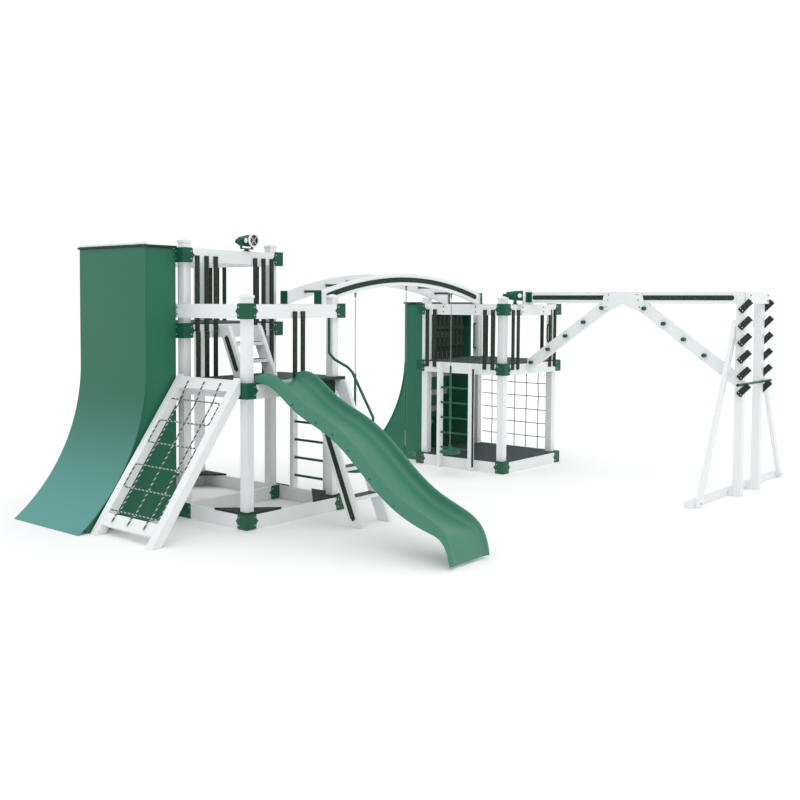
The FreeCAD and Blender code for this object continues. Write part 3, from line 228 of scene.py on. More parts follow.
def build_soft_shading():
    """Geometry group: smooth shading that breaks at every edge over the sharp angle."""
    group = bpy.data.node_groups.new("soft_shading", "GeometryNodeTree")
    for way in ("INPUT", "OUTPUT"):
        group.interface.new_socket("Geometry", in_out=way, socket_type="NodeSocketGeometry")
    add, link = group.nodes.new, group.links.new
    given, out = add("NodeGroupInput"), add("NodeGroupOutput")
    smooth, sharp = add("GeometryNodeSetShadeSmooth"), add("GeometryNodeSetShadeSmooth")
    sharp.domain = "EDGE"
    sharp.inputs["Shade Smooth"].default_value = False
    angle = add("GeometryNodeInputMeshEdgeAngle")
    wide = add("FunctionNodeCompare")
    wide.inputs["B"].default_value = SHARP_ANGLE
    link(angle.outputs["Unsigned Angle"], wide.inputs["A"])
    link(wide.outputs["Result"], sharp.inputs["Selection"])
    link(given.outputs["Geometry"], smooth.inputs["Geometry"])
    link(smooth.outputs["Geometry"], sharp.inputs["Geometry"])
    link(sharp.outputs["Geometry"], out.inputs["Geometry"])
    return group


SOFT_SHADING = build_soft_shading()


def round_edges(piece, width):
    """A small two-step round on every edge of a piece that is sharp enough to catch light."""
    edges = piece.modifiers.new("edges", "BEVEL")
    edges.width = width
    edges.segments = 2
    edges.limit_method = "ANGLE"
    edges.angle_limit = BEVEL_ANGLE


def soften(piece):
    """Smooth shading on a piece, with the broad faces keeping flat light."""
    piece.modifiers.new("soft_shading", "NODES").node_group = SOFT_SHADING
    weigh = piece.modifiers.new("weigh", "WEIGHTED_NORMAL")
    weigh.keep_sharp = True


def dress(material, round_edge, *nodes):
    """Give CAD nodes their finish. A radius rounds edges, 0 only shades softly, None does neither."""
    for name in nodes:
        piece = frame["nodes"][name]
        piece.data.materials.clear()
        piece.data.materials.append(material)
        if round_edge is None:
            continue
        weld = piece.modifiers.new("weld", "WELD")
        weld.merge_threshold = WELD_GAP
        if round_edge:
            flat = piece.modifiers.new("flat", "DECIMATE")
            flat.decimate_type = "DISSOLVE"
            flat.angle_limit = FLAT_ANGLE
            round_edges(piece, round_edge)
        soften(piece)


vinyl = skin_material("white_vinyl", VINYL, mottle=0.018, mottle_scale=1.1, gloss_loss=0.38,
                      gloss_spread=0.08, grain_scale=90, grain_depth=0.05, dust=0.12,
                      specular=0.35)
dress(vinyl, 0.003, "posts")
dress(vinyl, None, "base_boards", "deck_boards", "railing_boards")
dress(vinyl, 0.002, "post_caps")

# ------------------------------------------------------------- decks and floors
# Bare treated planks on joists carry mats of bonded rubber crumb, slate in
# colour, that lie flat and stop just short of the posts.
SLATE = (0.03, 0.056, 0.055, 1)
PALE_SLATE = (0.085, 0.125, 0.122, 1)


def build_crumb():
    """Group: small flecks of a second colour pressed into a first, with their relief."""
    group = bpy.data.node_groups.new("crumb", "ShaderNodeTree")
    for label, kind, value in (
            ("Colour", "NodeSocketColor", SLATE), ("Fleck Colour", "NodeSocketColor", PALE_SLATE),
            ("Fleck Share", "NodeSocketFloat", 0.3), ("Fleck Scale", "NodeSocketFloat", 200.0),
            ("Stretch", "NodeSocketVector", (1, 1, 1)), ("Relief", "NodeSocketFloat", 0.3)):
        socket = group.interface.new_socket(label, in_out="INPUT", socket_type=kind)
        socket.default_value = value
    for label, kind in (("Colour", "NodeSocketColor"), ("Roughness", "NodeSocketFloat"),
                        ("Normal", "NodeSocketVector")):
        group.interface.new_socket(label, in_out="OUTPUT", socket_type=kind)
    add, link = group.nodes.new, group.links.new
    given, out = add("NodeGroupInput"), add("NodeGroupOutput")
    stretch = add("ShaderNodeMapping")
    link(add("ShaderNodeTexCoord").outputs["Object"], stretch.inputs["Vector"])
    link(given.outputs["Stretch"], stretch.inputs["Scale"])
    cells = add("ShaderNodeTexVoronoi")
    link(stretch.outputs["Vector"], cells.inputs["Vector"])
    link(given.outputs["Fleck Scale"], cells.inputs["Scale"])
    split = add("ShaderNodeSeparateColor")
    link(cells.outputs["Color"], split.inputs["Color"])
    chosen = add("ShaderNodeMath")
    chosen.operation = "LESS_THAN"
    link(split.outputs["Red"], chosen.inputs[0])
    link(given.outputs["Fleck Share"], chosen.inputs[1])
    shade = add("ShaderNodeMix")
    shade.data_type = "RGBA"
    link(chosen.outputs[0], shade.inputs["Factor"])
    link(given.outputs["Colour"], shade.inputs["A"])
    link(given.outputs["Fleck Colour"], shade.inputs["B"])
    uneven = add("ShaderNodeTexNoise")
    uneven.inputs["Scale"].default_value = 1.6
    link(stretch.outputs["Vector"], uneven.inputs["Vector"])
    swing = add("ShaderNodeMapRange")
    swing.inputs["To Min"].default_value = 0.85
    swing.inputs["To Max"].default_value = 1.15
    link(uneven.outputs["Fac"], swing.inputs["Value"])
    tint = add("ShaderNodeHueSaturation")
    link(swing.outputs["Result"], tint.inputs["Value"])
    link(shade.outputs["Result"], tint.inputs["Color"])
    link(tint.outputs["Color"], out.inputs["Colour"])
    gloss = add("ShaderNodeMapRange")
    gloss.inputs["To Min"].default_value = 0.62
    gloss.inputs["To Max"].default_value = 0.85
    link(split.outputs["Green"], gloss.inputs["Value"])
    link(gloss.outputs["Result"], out.inputs["Roughness"])
    bump = add("ShaderNodeBump")
    bump.inputs["Distance"].default_value = 0.0008
    link(given.outputs["Relief"], bump.inputs["Strength"])
    link(cells.outputs["Distance"], bump.inputs["Height"])
    link(bump.outputs["Normal"], out.inputs["Normal"])
    return group


CRUMB = build_crumb()


def crumb_material(name, colour, fleck, share, scale, relief, stretch=(1, 1, 1)):
    """A flecked finish with its own two colours, fleck size and grain direction."""
    material = bpy.data.materials.new(name)
    material.use_nodes = True
    tree = material.node_tree
    shader = tree.nodes["Principled BSDF"]
    crumb = tree.nodes.new("ShaderNodeGroup")
    crumb.node_tree = CRUMB
    for label, value in (("Colour", colour), ("Fleck Colour", fleck), ("Fleck Share", share),
                         ("Fleck Scale", scale), ("Stretch", stretch), ("Relief", relief)):
        crumb.inputs[label].default_value = value
    for label, target in (("Colour", "Base Color"), ("Roughness", "Roughness"),
                          ("Normal", "Normal")):
        tree.links.new(crumb.outputs[label], shader.inputs[target])
    shader.inputs["Specular IOR Level"].default_value = 0.16
    return material


def timber_material():
    """Bare softwood with long growth lines and a few darker streaks."""
    material = bpy.data.materials.new("bare_timber")
    material.use_nodes = True
    tree = material.node_tree
    add, link = tree.nodes.new, tree.links.new
    shader = tree.nodes["Principled BSDF"]
    stretch = add("ShaderNodeMapping")
    stretch.inputs["Scale"].default_value = (0.6, 0.6, 7.0)
    link(add("ShaderNodeTexCoord").outputs["Object"], stretch.inputs["Vector"])
    rings = add("ShaderNodeTexNoise")
    rings.inputs["Scale"].default_value = 9
    rings.inputs["Detail"].default_value = 6
    rings.inputs["Distortion"].default_value = 0.6
    link(stretch.outputs["Vector"], rings.inputs["Vector"])
    shade = add("ShaderNodeValToRGB")
    shade.color_ramp.elements[0].position = 0.32
    shade.color_ramp.elements[0].color = (0.47, 0.4, 0.32, 1)
    shade.color_ramp.elements[1].position = 0.68
    shade.color_ramp.elements[1].color = (0.68, 0.62, 0.54, 1)
    link(rings.outputs["Fac"], shade.inputs["Fac"])
    link(shade.outputs["Color"], shader.inputs["Base Color"])
    bump = add("ShaderNodeBump")
    bump.inputs["Strength"].default_value = 0.3
    bump.inputs["Distance"].default_value = 0.001
    link(rings.outputs["Fac"], bump.inputs["Height"])
    link(bump.outputs["Normal"], shader.inputs["Normal"])
    shader.inputs["Roughness"].default_value = 0.72
    return material


mat_rubber = crumb_material("slate_rubber", SLATE, PALE_SLATE, 0.3, 260, 0.5)
bare_timber = timber_material()
dress(mat_rubber, 0.0015, "deck_mats")
dress(bare_timber, 0.0015, "deck_planks")

# -------------------------------------------------- balusters and corner seats
# Balusters, insert strips and small seats are sawn from dark green board made
# of recycled plastic, with pale flecks drawn out along its length.
DARK_BOARD = (0.018, 0.036, 0.022, 1)
BOARD_FLECK = (0.055, 0.085, 0.06, 1)
dark_board = crumb_material("dark_green_board", DARK_BOARD, BOARD_FLECK, 0.2, 330, 0.25,
                            stretch=(1, 1, 0.18))
dress(dark_board, 0.002, "balusters", "corner_seats")

# ------------------------------------------------------------ brackets and screws
# Scalloped corner brackets moulded in green plastic wrap each board corner and
# are held by domed zinc screws. Straight ones splice boards and hold the arch.
BRACKET_GREEN = (0.008, 0.09, 0.048, 1)
bracket_green = skin_material("moulded_green", BRACKET_GREEN, mottle=0.08, mottle_scale=6,
                              gloss_loss=0.42, gloss_spread=0.1, grain_scale=700,
                              grain_depth=0.25, dust=0.1, specular=0.22)
dress(bracket_green, 0.0018, "corner_brackets", "beam_brackets", "telescope_bases")


def zinc_material(name, colour, rough):
    """Zinc skin with the crystal patches and dulled gloss of hot-dip coating."""
    material = bpy.data.materials.new(name)
    material.use_nodes = True
    tree = material.node_tree
    add, link = tree.nodes.new, tree.links.new
    shader = tree.nodes["Principled BSDF"]
    place = add("ShaderNodeTexCoord").outputs["Object"]
    crystals = add("ShaderNodeTexVoronoi")
    crystals.inputs["Scale"].default_value = 260
    link(place, crystals.inputs["Vector"])
    shade = add("ShaderNodeMix")
    shade.data_type = "RGBA"
    shade.inputs["A"].default_value = tuple(c * 0.7 for c in colour[:3]) + (1,)
    shade.inputs["B"].default_value = colour
    split = add("ShaderNodeSeparateColor")
    link(crystals.outputs["Color"], split.inputs["Color"])
    link(split.outputs["Red"], shade.inputs["Factor"])
    link(shade.outputs["Result"], shader.inputs["Base Color"])
    gloss = add("ShaderNodeMapRange")
    gloss.inputs["To Min"].default_value = rough - 0.08
    gloss.inputs["To Max"].default_value = rough + 0.1
    link(split.outputs["Green"], gloss.inputs["Value"])
    link(gloss.outputs["Result"], shader.inputs["Roughness"])
    shader.inputs["Metallic"].default_value = 0.9
    return material


zinc = zinc_material("zinc", (0.72, 0.71, 0.69, 1), 0.35)
dark_zinc = zinc_material("dark_zinc", (0.13, 0.14, 0.14, 1), 0.45)
dress(zinc, 0, "bracket_screws")
dress(dark_zinc, 0, "frame_bolts")

# --------------------------------------------------------------- step ladders
# Two lean-to ladders: vinyl stringers with dark insert strips let into their
# outer faces, vinyl treads, and a ribbed rubber grip glued to each tread.
grip_rubber = skin_material("ribbed_grip", (0.028, 0.045, 0.06, 1), mottle=0.1, gloss_loss=0.6,
                            grain_scale=250, grain_depth=0.8, dust=0.2)
dress(vinyl, 0.003, "ladder_stringers", "ladder_treads")
dress(grip_rubber, 0.001, "tread_grips")
dress(dark_board, 0.0015, "ladder_inserts", "landing_board")

# ------------------------------------------------------ handrail, rungs and handles
# Steel tube, powder coated in green with a slight orange-peel texture: the bent
# stair handrail, the rung ladders' rungs and the two grab handles by the deck.
TUBE_GREEN = (0.008, 0.092, 0.045, 1)
tube_green = skin_material("powder_coat_green", TUBE_GREEN, specular=0.3, mottle=0.05,
                           mottle_scale=8, gloss_loss=0.34, gloss_spread=0.06,
                           grain_scale=900, grain_depth=0.3, dust=0.05)
dress(tube_green, 0, "stair_handrail", "grab_handles", "rung_ladder_rungs", "arch_rungs")
dress(vinyl, 0.003, "rung_ladder_stringers")

# -------------------------------------------------------------------- slide
# One rotationally moulded green shell: a wave-shaped bed between rolled sides
# that turn down outside, thin walled, ending in a lip that drops to the ground.
SLIDE_GREEN = (0.045, 0.205, 0.135, 1)
SLIDE_WALL = 0.007
SIDE_HEIGHT = 4.7
BED_LINE = [(1.6, 61.0), (-4.0, 61.2), (-8.5, 60.2), (-12.5, 57.8), (-17.0, 54.4),
            (-23.0, 50.4), (-31.0, 46.9), (-38.0, 44.2), (-45.0, 40.4), (-52.0, 35.0),
            (-60.0, 28.0), (-68.0, 21.6), (-76.0, 17.0), (-84.0, 13.9), (-90.0, 12.3),
            (-93.8, 10.9), (-96.2, 8.2), (-97.6, 4.4), (-98.4, 1.1)]


def finish_piece(bm, name, material, body, stands_for=()):
    """Turn a bmesh into a named piece that rides on a body."""
    mesh = bpy.data.meshes.new(name)
    bm.to_mesh(mesh)
    bm.free()
    piece = bpy.data.objects.new(name, mesh)
    bpy.context.scene.collection.objects.link(piece)
    mesh.materials.append(material)
    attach(piece, body)
    if stands_for:
        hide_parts(*stands_for)
    return piece


slide_low, slide_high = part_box("slide")
slide_mid = (slide_low.x + slide_high.x) / 2
side = (slide_high.x - slide_low.x) / 2 / INCH - 0.14


DECK_OUT, FOOT_OUT = -BED_LINE[0][0], -BED_LINE[-1][0]
LIP_HEIGHT = 2.2


def side_height(out):
    """Height of the slide's sides, lower at the deck and at the foot."""
    grow = min(1.0, max(0.0, (out - DECK_OUT) / 8.0))
    fade = min(1.0, max(0.0, (FOOT_OUT - out) / 11.0))
    return (LIP_HEIGHT + (SIDE_HEIGHT - LIP_HEIGHT) * grow) * (0.32 + 0.68 * fade)


def bed_place(index):
    """The slide bed's own axes at a station: across, square to the bed, along it."""
    before = BED_LINE[max(index - 1, 0)]
    after = BED_LINE[min(index + 1, len(BED_LINE) - 1)]
    along = Vector((0, after[0] - before[0], after[1] - before[1])).normalized()
    square = along.cross(Vector((1, 0, 0)))
    y, z = BED_LINE[index]
    origin = spot(0, y, z)
    origin.x = slide_mid
    turn = Matrix((Vector((1, 0, 0)), square, along)).transposed().to_4x4()
    return Matrix.Translation(origin) @ turn


bm = bmesh.new()
h = side_height(DECK_OUT)
half = [(0.0, 0.0), (side * 0.4, 0.0), (side - 3.5, 0.02), (side - 2.3, 0.14 * h),
        (side - 1.6, 0.45 * h), (side - 1.3, 0.85 * h), (side - 0.95, h), (side - 0.35, h),
        (side, 0.88 * h), (side, 0.4 * h), (side, 0.0), (side - 0.02, -0.45)]
section = [(-u, v) for u, v in half[:0:-1]] + half
ring = [bm.verts.new(bed_place(0) @ Vector((u * INCH, v * INCH, 0))) for u, v in section]
edges = [bm.edges.new(pair) for pair in zip(ring, ring[1:])]
for index in range(1, len(BED_LINE)):
    grown = bmesh.ops.extrude_edge_only(bm, edges=edges)["geom"]
    moved = [part for part in grown if isinstance(part, bmesh.types.BMVert)]
    edges = [part for part in grown if isinstance(part, bmesh.types.BMEdge)
             and all(v in moved for v in part.verts)]
    taller = side_height(-BED_LINE[index][0]) / side_height(-BED_LINE[index - 1][0])
    step = bed_place(index) @ Matrix.Diagonal((1, taller, 1, 1)) @ bed_place(index - 1).inverted()
    bmesh.ops.transform(bm, matrix=step, verts=moved)
bmesh.ops.recalc_face_normals(bm, faces=bm.faces[:])
flat_bed = max(bm.faces, key=lambda face: abs(face.normal.z) - abs(
    face.calc_center_median().x - slide_mid))
if flat_bed.normal.z < 0:
    bmesh.ops.reverse_faces(bm, faces=bm.faces[:])
slide_green = skin_material("slide_green", SLIDE_GREEN, specular=0.4, mottle=0.05, mottle_scale=1.4,
                            gloss_loss=0.33, gloss_spread=0.1, grain_scale=500,
                            grain_depth=0.12, dust=0.08)
slide = finish_piece(bm, "slide_shell", slide_green, "frame", ["slide"])
wall = slide.modifiers.new("wall", "SOLIDIFY")
wall.thickness = SLIDE_WALL
wall.offset = -1
smooth = slide.modifiers.new("smooth", "SUBSURF")
smooth.levels = smooth.render_levels = 2
soften(slide)

# -------------------------------------------------------------- rope climber
# A leaning vinyl frame. Three ropes run up it and one long rope laces to and fro
# between the side rails in six rows. The rope is laid green and white.
ROPE_GREEN = (0.01, 0.085, 0.05, 1)
ROPE_WHITE = (0.58, 0.61, 0.59, 1)
ROPE_R = 0.34 * INCH
ROPE_STRANDS = 3
ROPE_SIDES = 9
ROPE_LAY = 0.062


def rope_material(name, first, second):
    """Laid rope: strands in two colours with fine twisted yarn on each."""
    material = bpy.data.materials.new(name)
    material.use_nodes = True
    tree = material.node_tree
    add, link = tree.nodes.new, tree.links.new
    shader = tree.nodes["Principled BSDF"]
    strand = add("ShaderNodeAttribute")
    strand.attribute_name = "strand"
    yarn = add("ShaderNodeTexNoise")
    yarn.inputs["Scale"].default_value = 420
    yarn.inputs["Detail"].default_value = 3
    link(add("ShaderNodeTexCoord").outputs["Object"], yarn.inputs["Vector"])
    edge = add("ShaderNodeMath")
    edge.operation = "GREATER_THAN"
    edge.inputs[1].default_value = 0.5
    link(strand.outputs["Fac"], edge.inputs[0])
    shade = add("ShaderNodeMix")
    shade.data_type = "RGBA"
    shade.inputs["A"].default_value = first
    shade.inputs["B"].default_value = second
    link(edge.outputs[0], shade.inputs["Factor"])
    worn = add("ShaderNodeMapRange")
    worn.inputs["To Min"].default_value = 0.7
    worn.inputs["To Max"].default_value = 1.25
    link(yarn.outputs["Fac"], worn.inputs["Value"])
    tint = add("ShaderNodeHueSaturation")
    link(worn.outputs["Result"], tint.inputs["Value"])
    link(shade.outputs["Result"], tint.inputs["Color"])
    link(tint.outputs["Color"], shader.inputs["Base Color"])
    bump = add("ShaderNodeBump")
    bump.inputs["Strength"].default_value = 0.6
    bump.inputs["Distance"].default_value = 0.001
    link(yarn.outputs["Fac"], bump.inputs["Height"])
    link(bump.outputs["Normal"], shader.inputs["Normal"])
    shader.inputs["Roughness"].default_value = 0.8
    shader.inputs["Sheen Weight"].default_value = 0.3
    return material


def lay_rope(bm, points, radius, lay):
    """Extrude a lobed ring along the points, turning it once every lay metres."""
    rope = bmesh.new()
    marks = rope.verts.layers.float.new("strand")
    way = (points[1] - points[0]).normalized()
    stand = Matrix.Translation(points[0]) @ way.to_track_quat("Z", "Y").to_matrix().to_4x4()
    ring = bmesh.ops.create_circle(rope, segments=ROPE_SIDES, radius=radius)["verts"]
    for index, vert in enumerate(ring):
        vert.co *= 0.9 + 0.1 * math.cos(ROPE_STRANDS * 2 * math.pi * (index + 0.5) / ROPE_SIDES)
        vert[marks] = 1.0 if index < ROPE_SIDES / ROPE_STRANDS else 0.0
    bmesh.ops.transform(rope, matrix=stand, verts=ring)
    edges = list({edge for vert in ring for edge in vert.link_edges})
    start_cap = ring
    here = points[0]
    for index in range(1, len(points)):
        leg = points[index] - here
        steps = max(1, round(leg.length / (lay / ROPE_SIDES)))
        bend = way.rotation_difference(leg.normalized()).to_matrix()
        way = leg.normalized()
        twist = Matrix.Rotation(2 * math.pi * leg.length / steps / lay, 3, way)
        for step in range(steps):
            grown = bmesh.ops.extrude_edge_only(rope, edges=edges)["geom"]
            ring = [part for part in grown if isinstance(part, bmesh.types.BMVert)]
            known = set(ring)
            edges = [part for part in grown if isinstance(part, bmesh.types.BMEdge)
                     and part.verts[0] in known and part.verts[1] in known]
            turn = twist @ bend if step == 0 else twist
            bmesh.ops.rotate(rope, cent=here, matrix=turn, verts=ring)
            bmesh.ops.translate(rope, vec=leg / steps, verts=ring)
            here = here + leg / steps
    for cap in (start_cap, ring):
        bmesh.ops.contextual_create(rope, geom=cap)
    mesh = bpy.data.meshes.new("rope_run")
    rope.to_mesh(mesh)
    rope.free()
    bm.from_mesh(mesh)
    bpy.data.meshes.remove(mesh)


def tie_knot(bm, centre, way, radius):
    """A stopper knot: a rounded lump a little longer than it is wide."""
    marks = bm.verts.layers.float.get("strand")
    lump = bmesh.ops.create_icosphere(bm, subdivisions=2, radius=radius)["verts"]
    for vert in lump:
        angle = math.atan2(vert.co.y, vert.co.x) + vert.co.z / radius * 1.5
        vert.co *= 1.0 + 0.14 * math.cos(3 * angle)
        vert[marks] = 1.0 if math.cos(2 * angle) > 0.3 else 0.0
    stretch = Matrix.Diagonal((1, 1, 1.15, 1))
    stand = Matrix.Translation(centre) @ way.to_track_quat("Z", "Y").to_matrix().to_4x4()
    bmesh.ops.transform(bm, matrix=stand @ stretch, verts=lump)


CLIMB_RUN, CLIMB_TOP = 45.9, 63.5
CLIMB_SPAN = math.hypot(CLIMB_RUN, CLIMB_TOP)
NEAR_RAIL, FAR_RAIL = 7.05, 38.95
ROW_FIRST, ROW_PITCH, ROW_COUNT = 12.0, 10.6, 6
ROPE_MIDDLE, ROPE_SPREAD = 23.0, 10.3
LACE_BEND = 0.035


def on_climber(up, y, depth):
    """A place on the leaning frame, up its slope and under its top face."""
    lean_x, lean_z = CLIMB_RUN / CLIMB_SPAN, CLIMB_TOP / CLIMB_SPAN
    return spot(-CLIMB_RUN + up * lean_x + depth * lean_z, y, up * lean_z - depth * lean_x)


def round_corner(before, corner, after, radius):
    """Points round a corner between two straight stretches."""
    start = corner + (before - corner).normalized() * radius
    end = corner + (after - corner).normalized() * radius
    return [start.lerp(corner, t).lerp(corner.lerp(end, t), t) for t in (0, 0.25, 0.5, 0.75, 1)]


bm = bmesh.new()
bm.verts.layers.float.new("strand")
for k in (-1, 0, 1):
    y = ROPE_MIDDLE + k * ROPE_SPREAD
    top = on_climber(CLIMB_SPAN - 4.2, y, -0.37)
    path = [on_climber(6.7, y, -0.38), on_climber(9.8, y, -0.36), on_climber(11.4, y, 0.55)]
    path += [on_climber(ROW_FIRST + ROW_PITCH * row, y, 0.75 + 0.1 * (row % 2))
             for row in range(ROW_COUNT)]
    path += [on_climber(CLIMB_SPAN - 7.6, y, -0.15), top]
    lay_rope(bm, path, ROPE_R, ROPE_LAY)
stops = []
for row in range(ROW_COUNT):
    s = ROW_FIRST + ROW_PITCH * row
    ends = [on_climber(s, NEAR_RAIL + 0.34, 0.1), on_climber(s, FAR_RAIL - 0.34, 0.1)]
    stops += ends if row % 2 else ends[::-1]
lace = [stops[0]]
for before, corner, after in zip(stops, stops[1:], stops[2:]):
    lace += round_corner(before, corner, after, LACE_BEND)
lace.append(stops[-1])
lay_rope(bm, lace, ROPE_R, ROPE_LAY)
across = Vector((0, 1, 0))
for k in (-1, 0, 1):
    for row in range(ROW_COUNT):
        centre = on_climber(ROW_FIRST + ROW_PITCH * row, ROPE_MIDDLE + k * ROPE_SPREAD, 0.4)
        tie_knot(bm, centre, across, ROPE_R * 1.35)
climb_rope = rope_material("green_white_rope", ROPE_GREEN, ROPE_WHITE)
soften(finish_piece(bm, "climber_ropes", climb_rope, "frame", ["climber_net"]))
dress(vinyl, 0.003, "climber_frame")

# ------------------------------------------------------------- curved walls
# Two tall run-up walls: one bent sheet of green laminate each, on dark side
# panels and timber studs, with a dark cap board along the top edge. Towards the
# foot the green blends into a bluer painted reflection of the bright floor.
WALL_SHEET = (0.022, 0.138, 0.085, 1)
# Bluer tint for the low part of the sheets: a painted reflection of the bright floor, not the
# laminate's own colour.
WALL_FOOT_PAINTED_REFLECTION = (0.085, 0.285, 0.262, 1)
WALL_SIDE = (0.024, 0.15, 0.09, 1)
SHEET_T = 0.5
WALL_WIDTH = 48.0
PAINTED_REFLECTION_HEIGHT = 1.5
TRIM_RISE, TRIM_THICK = 0.56, 1.1


def bent_sheet(bm, top, run, reach, bend):
    """The sheet with x out from the tower: flat to the bend, then curving to the ground."""
    drop = reach - run
    radius = (bend * bend + drop * drop) / (2 * drop)
    sweep = math.atan2(bend, run + radius - reach)
    first = bm.edges.new([bm.verts.new((run, y, top)) for y in (0, WALL_WIDTH)])
    grown = bmesh.ops.extrude_edge_only(bm, edges=[first])["geom"]
    verts = [part for part in grown if isinstance(part, bmesh.types.BMVert)]
    bmesh.ops.translate(bm, vec=(0, 0, bend - top), verts=verts)
    low_edge = [part for part in grown if isinstance(part, bmesh.types.BMEdge)
                and all(v in verts for v in part.verts)]
    bmesh.ops.spin(bm, geom=verts + low_edge, cent=(run + radius, 0, bend), axis=(0, 1, 0),
                   dvec=(0, 0, 0), angle=-sweep, steps=40, use_merge=False,
                   use_duplicate=False)
    bmesh.ops.recalc_face_normals(bm, faces=bm.faces[:])
    if sum(face.normal.x for face in bm.faces) < 0:
        bmesh.ops.reverse_faces(bm, faces=bm.faces[:])
    bmesh.ops.solidify(bm, geom=bm.faces[:], thickness=SHEET_T)
    trimmed = bmesh.ops.bisect_plane(bm, geom=bm.verts[:] + bm.edges[:] + bm.faces[:],
                                     plane_co=(0, 0, 0.02), plane_no=(0, 0, 1), clear_inner=True)
    rim = [part for part in trimmed["geom_cut"] if isinstance(part, bmesh.types.BMEdge)]
    bmesh.ops.holes_fill(bm, edges=rim)
    bmesh.ops.recalc_face_normals(bm, faces=bm.faces[:])


sheet_green = skin_material("wall_laminate", WALL_SHEET, specular=0.25, mottle=0.035,
                            mottle_scale=0.8, gloss_loss=0.4, gloss_spread=0.08,
                            grain_scale=350, grain_depth=0.06, dust=0.0)
# Painted reflection: below the given height the sheet's colour blends smoothly into the bluer tint,
# standing in for the floor reflected at grazing angles.
tree = sheet_green.node_tree
level_z = tree.nodes.new("ShaderNodeSeparateXYZ")
tree.links.new(tree.nodes.new("ShaderNodeTexCoord").outputs["Object"], level_z.inputs["Vector"])
painted_reflection_share = tree.nodes.new("ShaderNodeMapRange")
painted_reflection_share.interpolation_type = "SMOOTHSTEP"
painted_reflection_share.inputs["From Min"].default_value = PAINTED_REFLECTION_HEIGHT
painted_reflection_share.inputs["From Max"].default_value = 0.0
tree.links.new(level_z.outputs["Z"], painted_reflection_share.inputs["Value"])
painted_reflection_blend = tree.nodes.new("ShaderNodeMix")
painted_reflection_blend.data_type = "RGBA"
painted_reflection_blend.inputs["A"].default_value = WALL_SHEET
painted_reflection_blend.inputs["B"].default_value = WALL_FOOT_PAINTED_REFLECTION
tree.links.new(painted_reflection_share.outputs["Result"], painted_reflection_blend.inputs["Factor"])
tree.links.new(painted_reflection_blend.outputs["Result"], next(
    node for node in tree.nodes if node.type == "GROUP").inputs["Colour"])
towards_a = Matrix.Translation(spot(0, 43.8, 0)) @ Matrix.Diagonal((-INCH, INCH, INCH, 1))
towards_b = Matrix.Translation(spot(242, 56, 0)) @ Matrix.Rotation(
    math.pi / 2, 4, "Z") @ Matrix.Diagonal((INCH, INCH, INCH, 1))
for name, sizes, placing in (("wall_sheet_a", (117.0, 17.0, 51.0, 66.0), towards_a),
                             ("wall_sheet_b", (93.0, 15.8, 49.5, 62.0), towards_b)):
    bm = bmesh.new()
    bent_sheet(bm, *sizes)
    bmesh.ops.transform(bm, matrix=placing, verts=bm.verts[:])
    bmesh.ops.recalc_face_normals(bm, faces=bm.faces[:])
    sheet = finish_piece(bm, name, sheet_green, "frame", ["wall_sheets"])
    round_edges(sheet, 0.002)
    soften(sheet)
side_green = skin_material("wall_side_panel", WALL_SIDE, mottle=0.06, mottle_scale=1.5,
                           gloss_loss=0.5, gloss_spread=0.08, grain_scale=300,
                           grain_depth=0.12, dust=0.1, specular=0.2)
dress(side_green, 0.0015, "wall_sides")
dress(dark_board, 0.002, "wall_platforms", "slat_screen")
dress(bare_timber, 0.002, "wall_studs")
platform_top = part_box("wall_platforms")[1].z
trim_low, trim_high = spot(-17.3, 43.9, 0), spot(-15.9, 91.7, 0)
bm = bmesh.new()
bmesh.ops.create_cube(bm, size=1.0)
bmesh.ops.scale(bm, vec=(trim_high.x - trim_low.x, trim_high.y - trim_low.y, TRIM_THICK * INCH),
                verts=bm.verts[:])
bmesh.ops.translate(bm, vec=((trim_low.x + trim_high.x) / 2, (trim_low.y + trim_high.y) / 2,
                             platform_top + TRIM_RISE * INCH), verts=bm.verts[:])
bmesh.ops.bevel(bm, geom=bm.edges[:], offset=0.003, segments=2, profile=0.5, affect="EDGES",
                material=-1)
soften(finish_piece(bm, "wall_top_trim", vinyl, "frame"))

# --------------------------------------------------------- tower B's rope net
# A square net of thin grey-green rope in the bay under tower B's far rail,
# knotted where the ropes cross and pulled just short of tight.
NET_GREEN = (0.03, 0.07, 0.052, 1)
NET_GREY = (0.2, 0.235, 0.21, 1)
NET_R = 0.26 * INCH
NET_SAG = 0.006
NET_LAY = 0.055
NET_MARGIN = 0.004
random.seed(11)
net_low, net_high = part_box("tower_net")
net_x = (net_low.x + net_high.x) / 2
columns = [spot(0, 2.05 + 8.2 * (k + 1) - 0.2, 0).y for k in range(5)]
rows = [spot(0, 0, 6.0 + 8.0 * (k + 1)).z for k in range(5)]
bm = bmesh.new()
bm.verts.layers.float.new("strand")
knots = {(y, z): Vector((net_x + random.uniform(-1, 1) * NET_SAG * 0.4,
                         y + random.uniform(-1, 1) * NET_SAG,
                         z - NET_SAG * random.uniform(0.3, 1.4)))
         for y in columns for z in rows}
for y in columns:
    path = [Vector((net_x, y, net_low.z + NET_MARGIN))] + [knots[y, z] for z in rows]
    path.append(Vector((net_x, y, net_high.z - NET_MARGIN)))
    lay_rope(bm, path, NET_R, NET_LAY)
for z in rows:
    path = [Vector((net_x, net_low.y + NET_MARGIN, z))] + [knots[y, z] for y in columns]
    path.append(Vector((net_x, net_high.y - NET_MARGIN, z)))
    lay_rope(bm, path, NET_R, NET_LAY)
for centre in knots.values():
    tie_knot(bm, centre, across, NET_R * 1.5)
net_rope = rope_material("grey_green_rope", NET_GREEN, NET_GREY)
soften(finish_piece(bm, "tower_ropes", net_rope, "frame", ["tower_net"]))

# ------------------------------------------------------------- monkey bars
# Two laminated arches in white vinyl with a dark strip let into each outer
# face, and round powder-coated rungs between them.
dress(vinyl, 0.003, "arch_rails")
dress(dark_board, 0.0015, "rail_inserts")

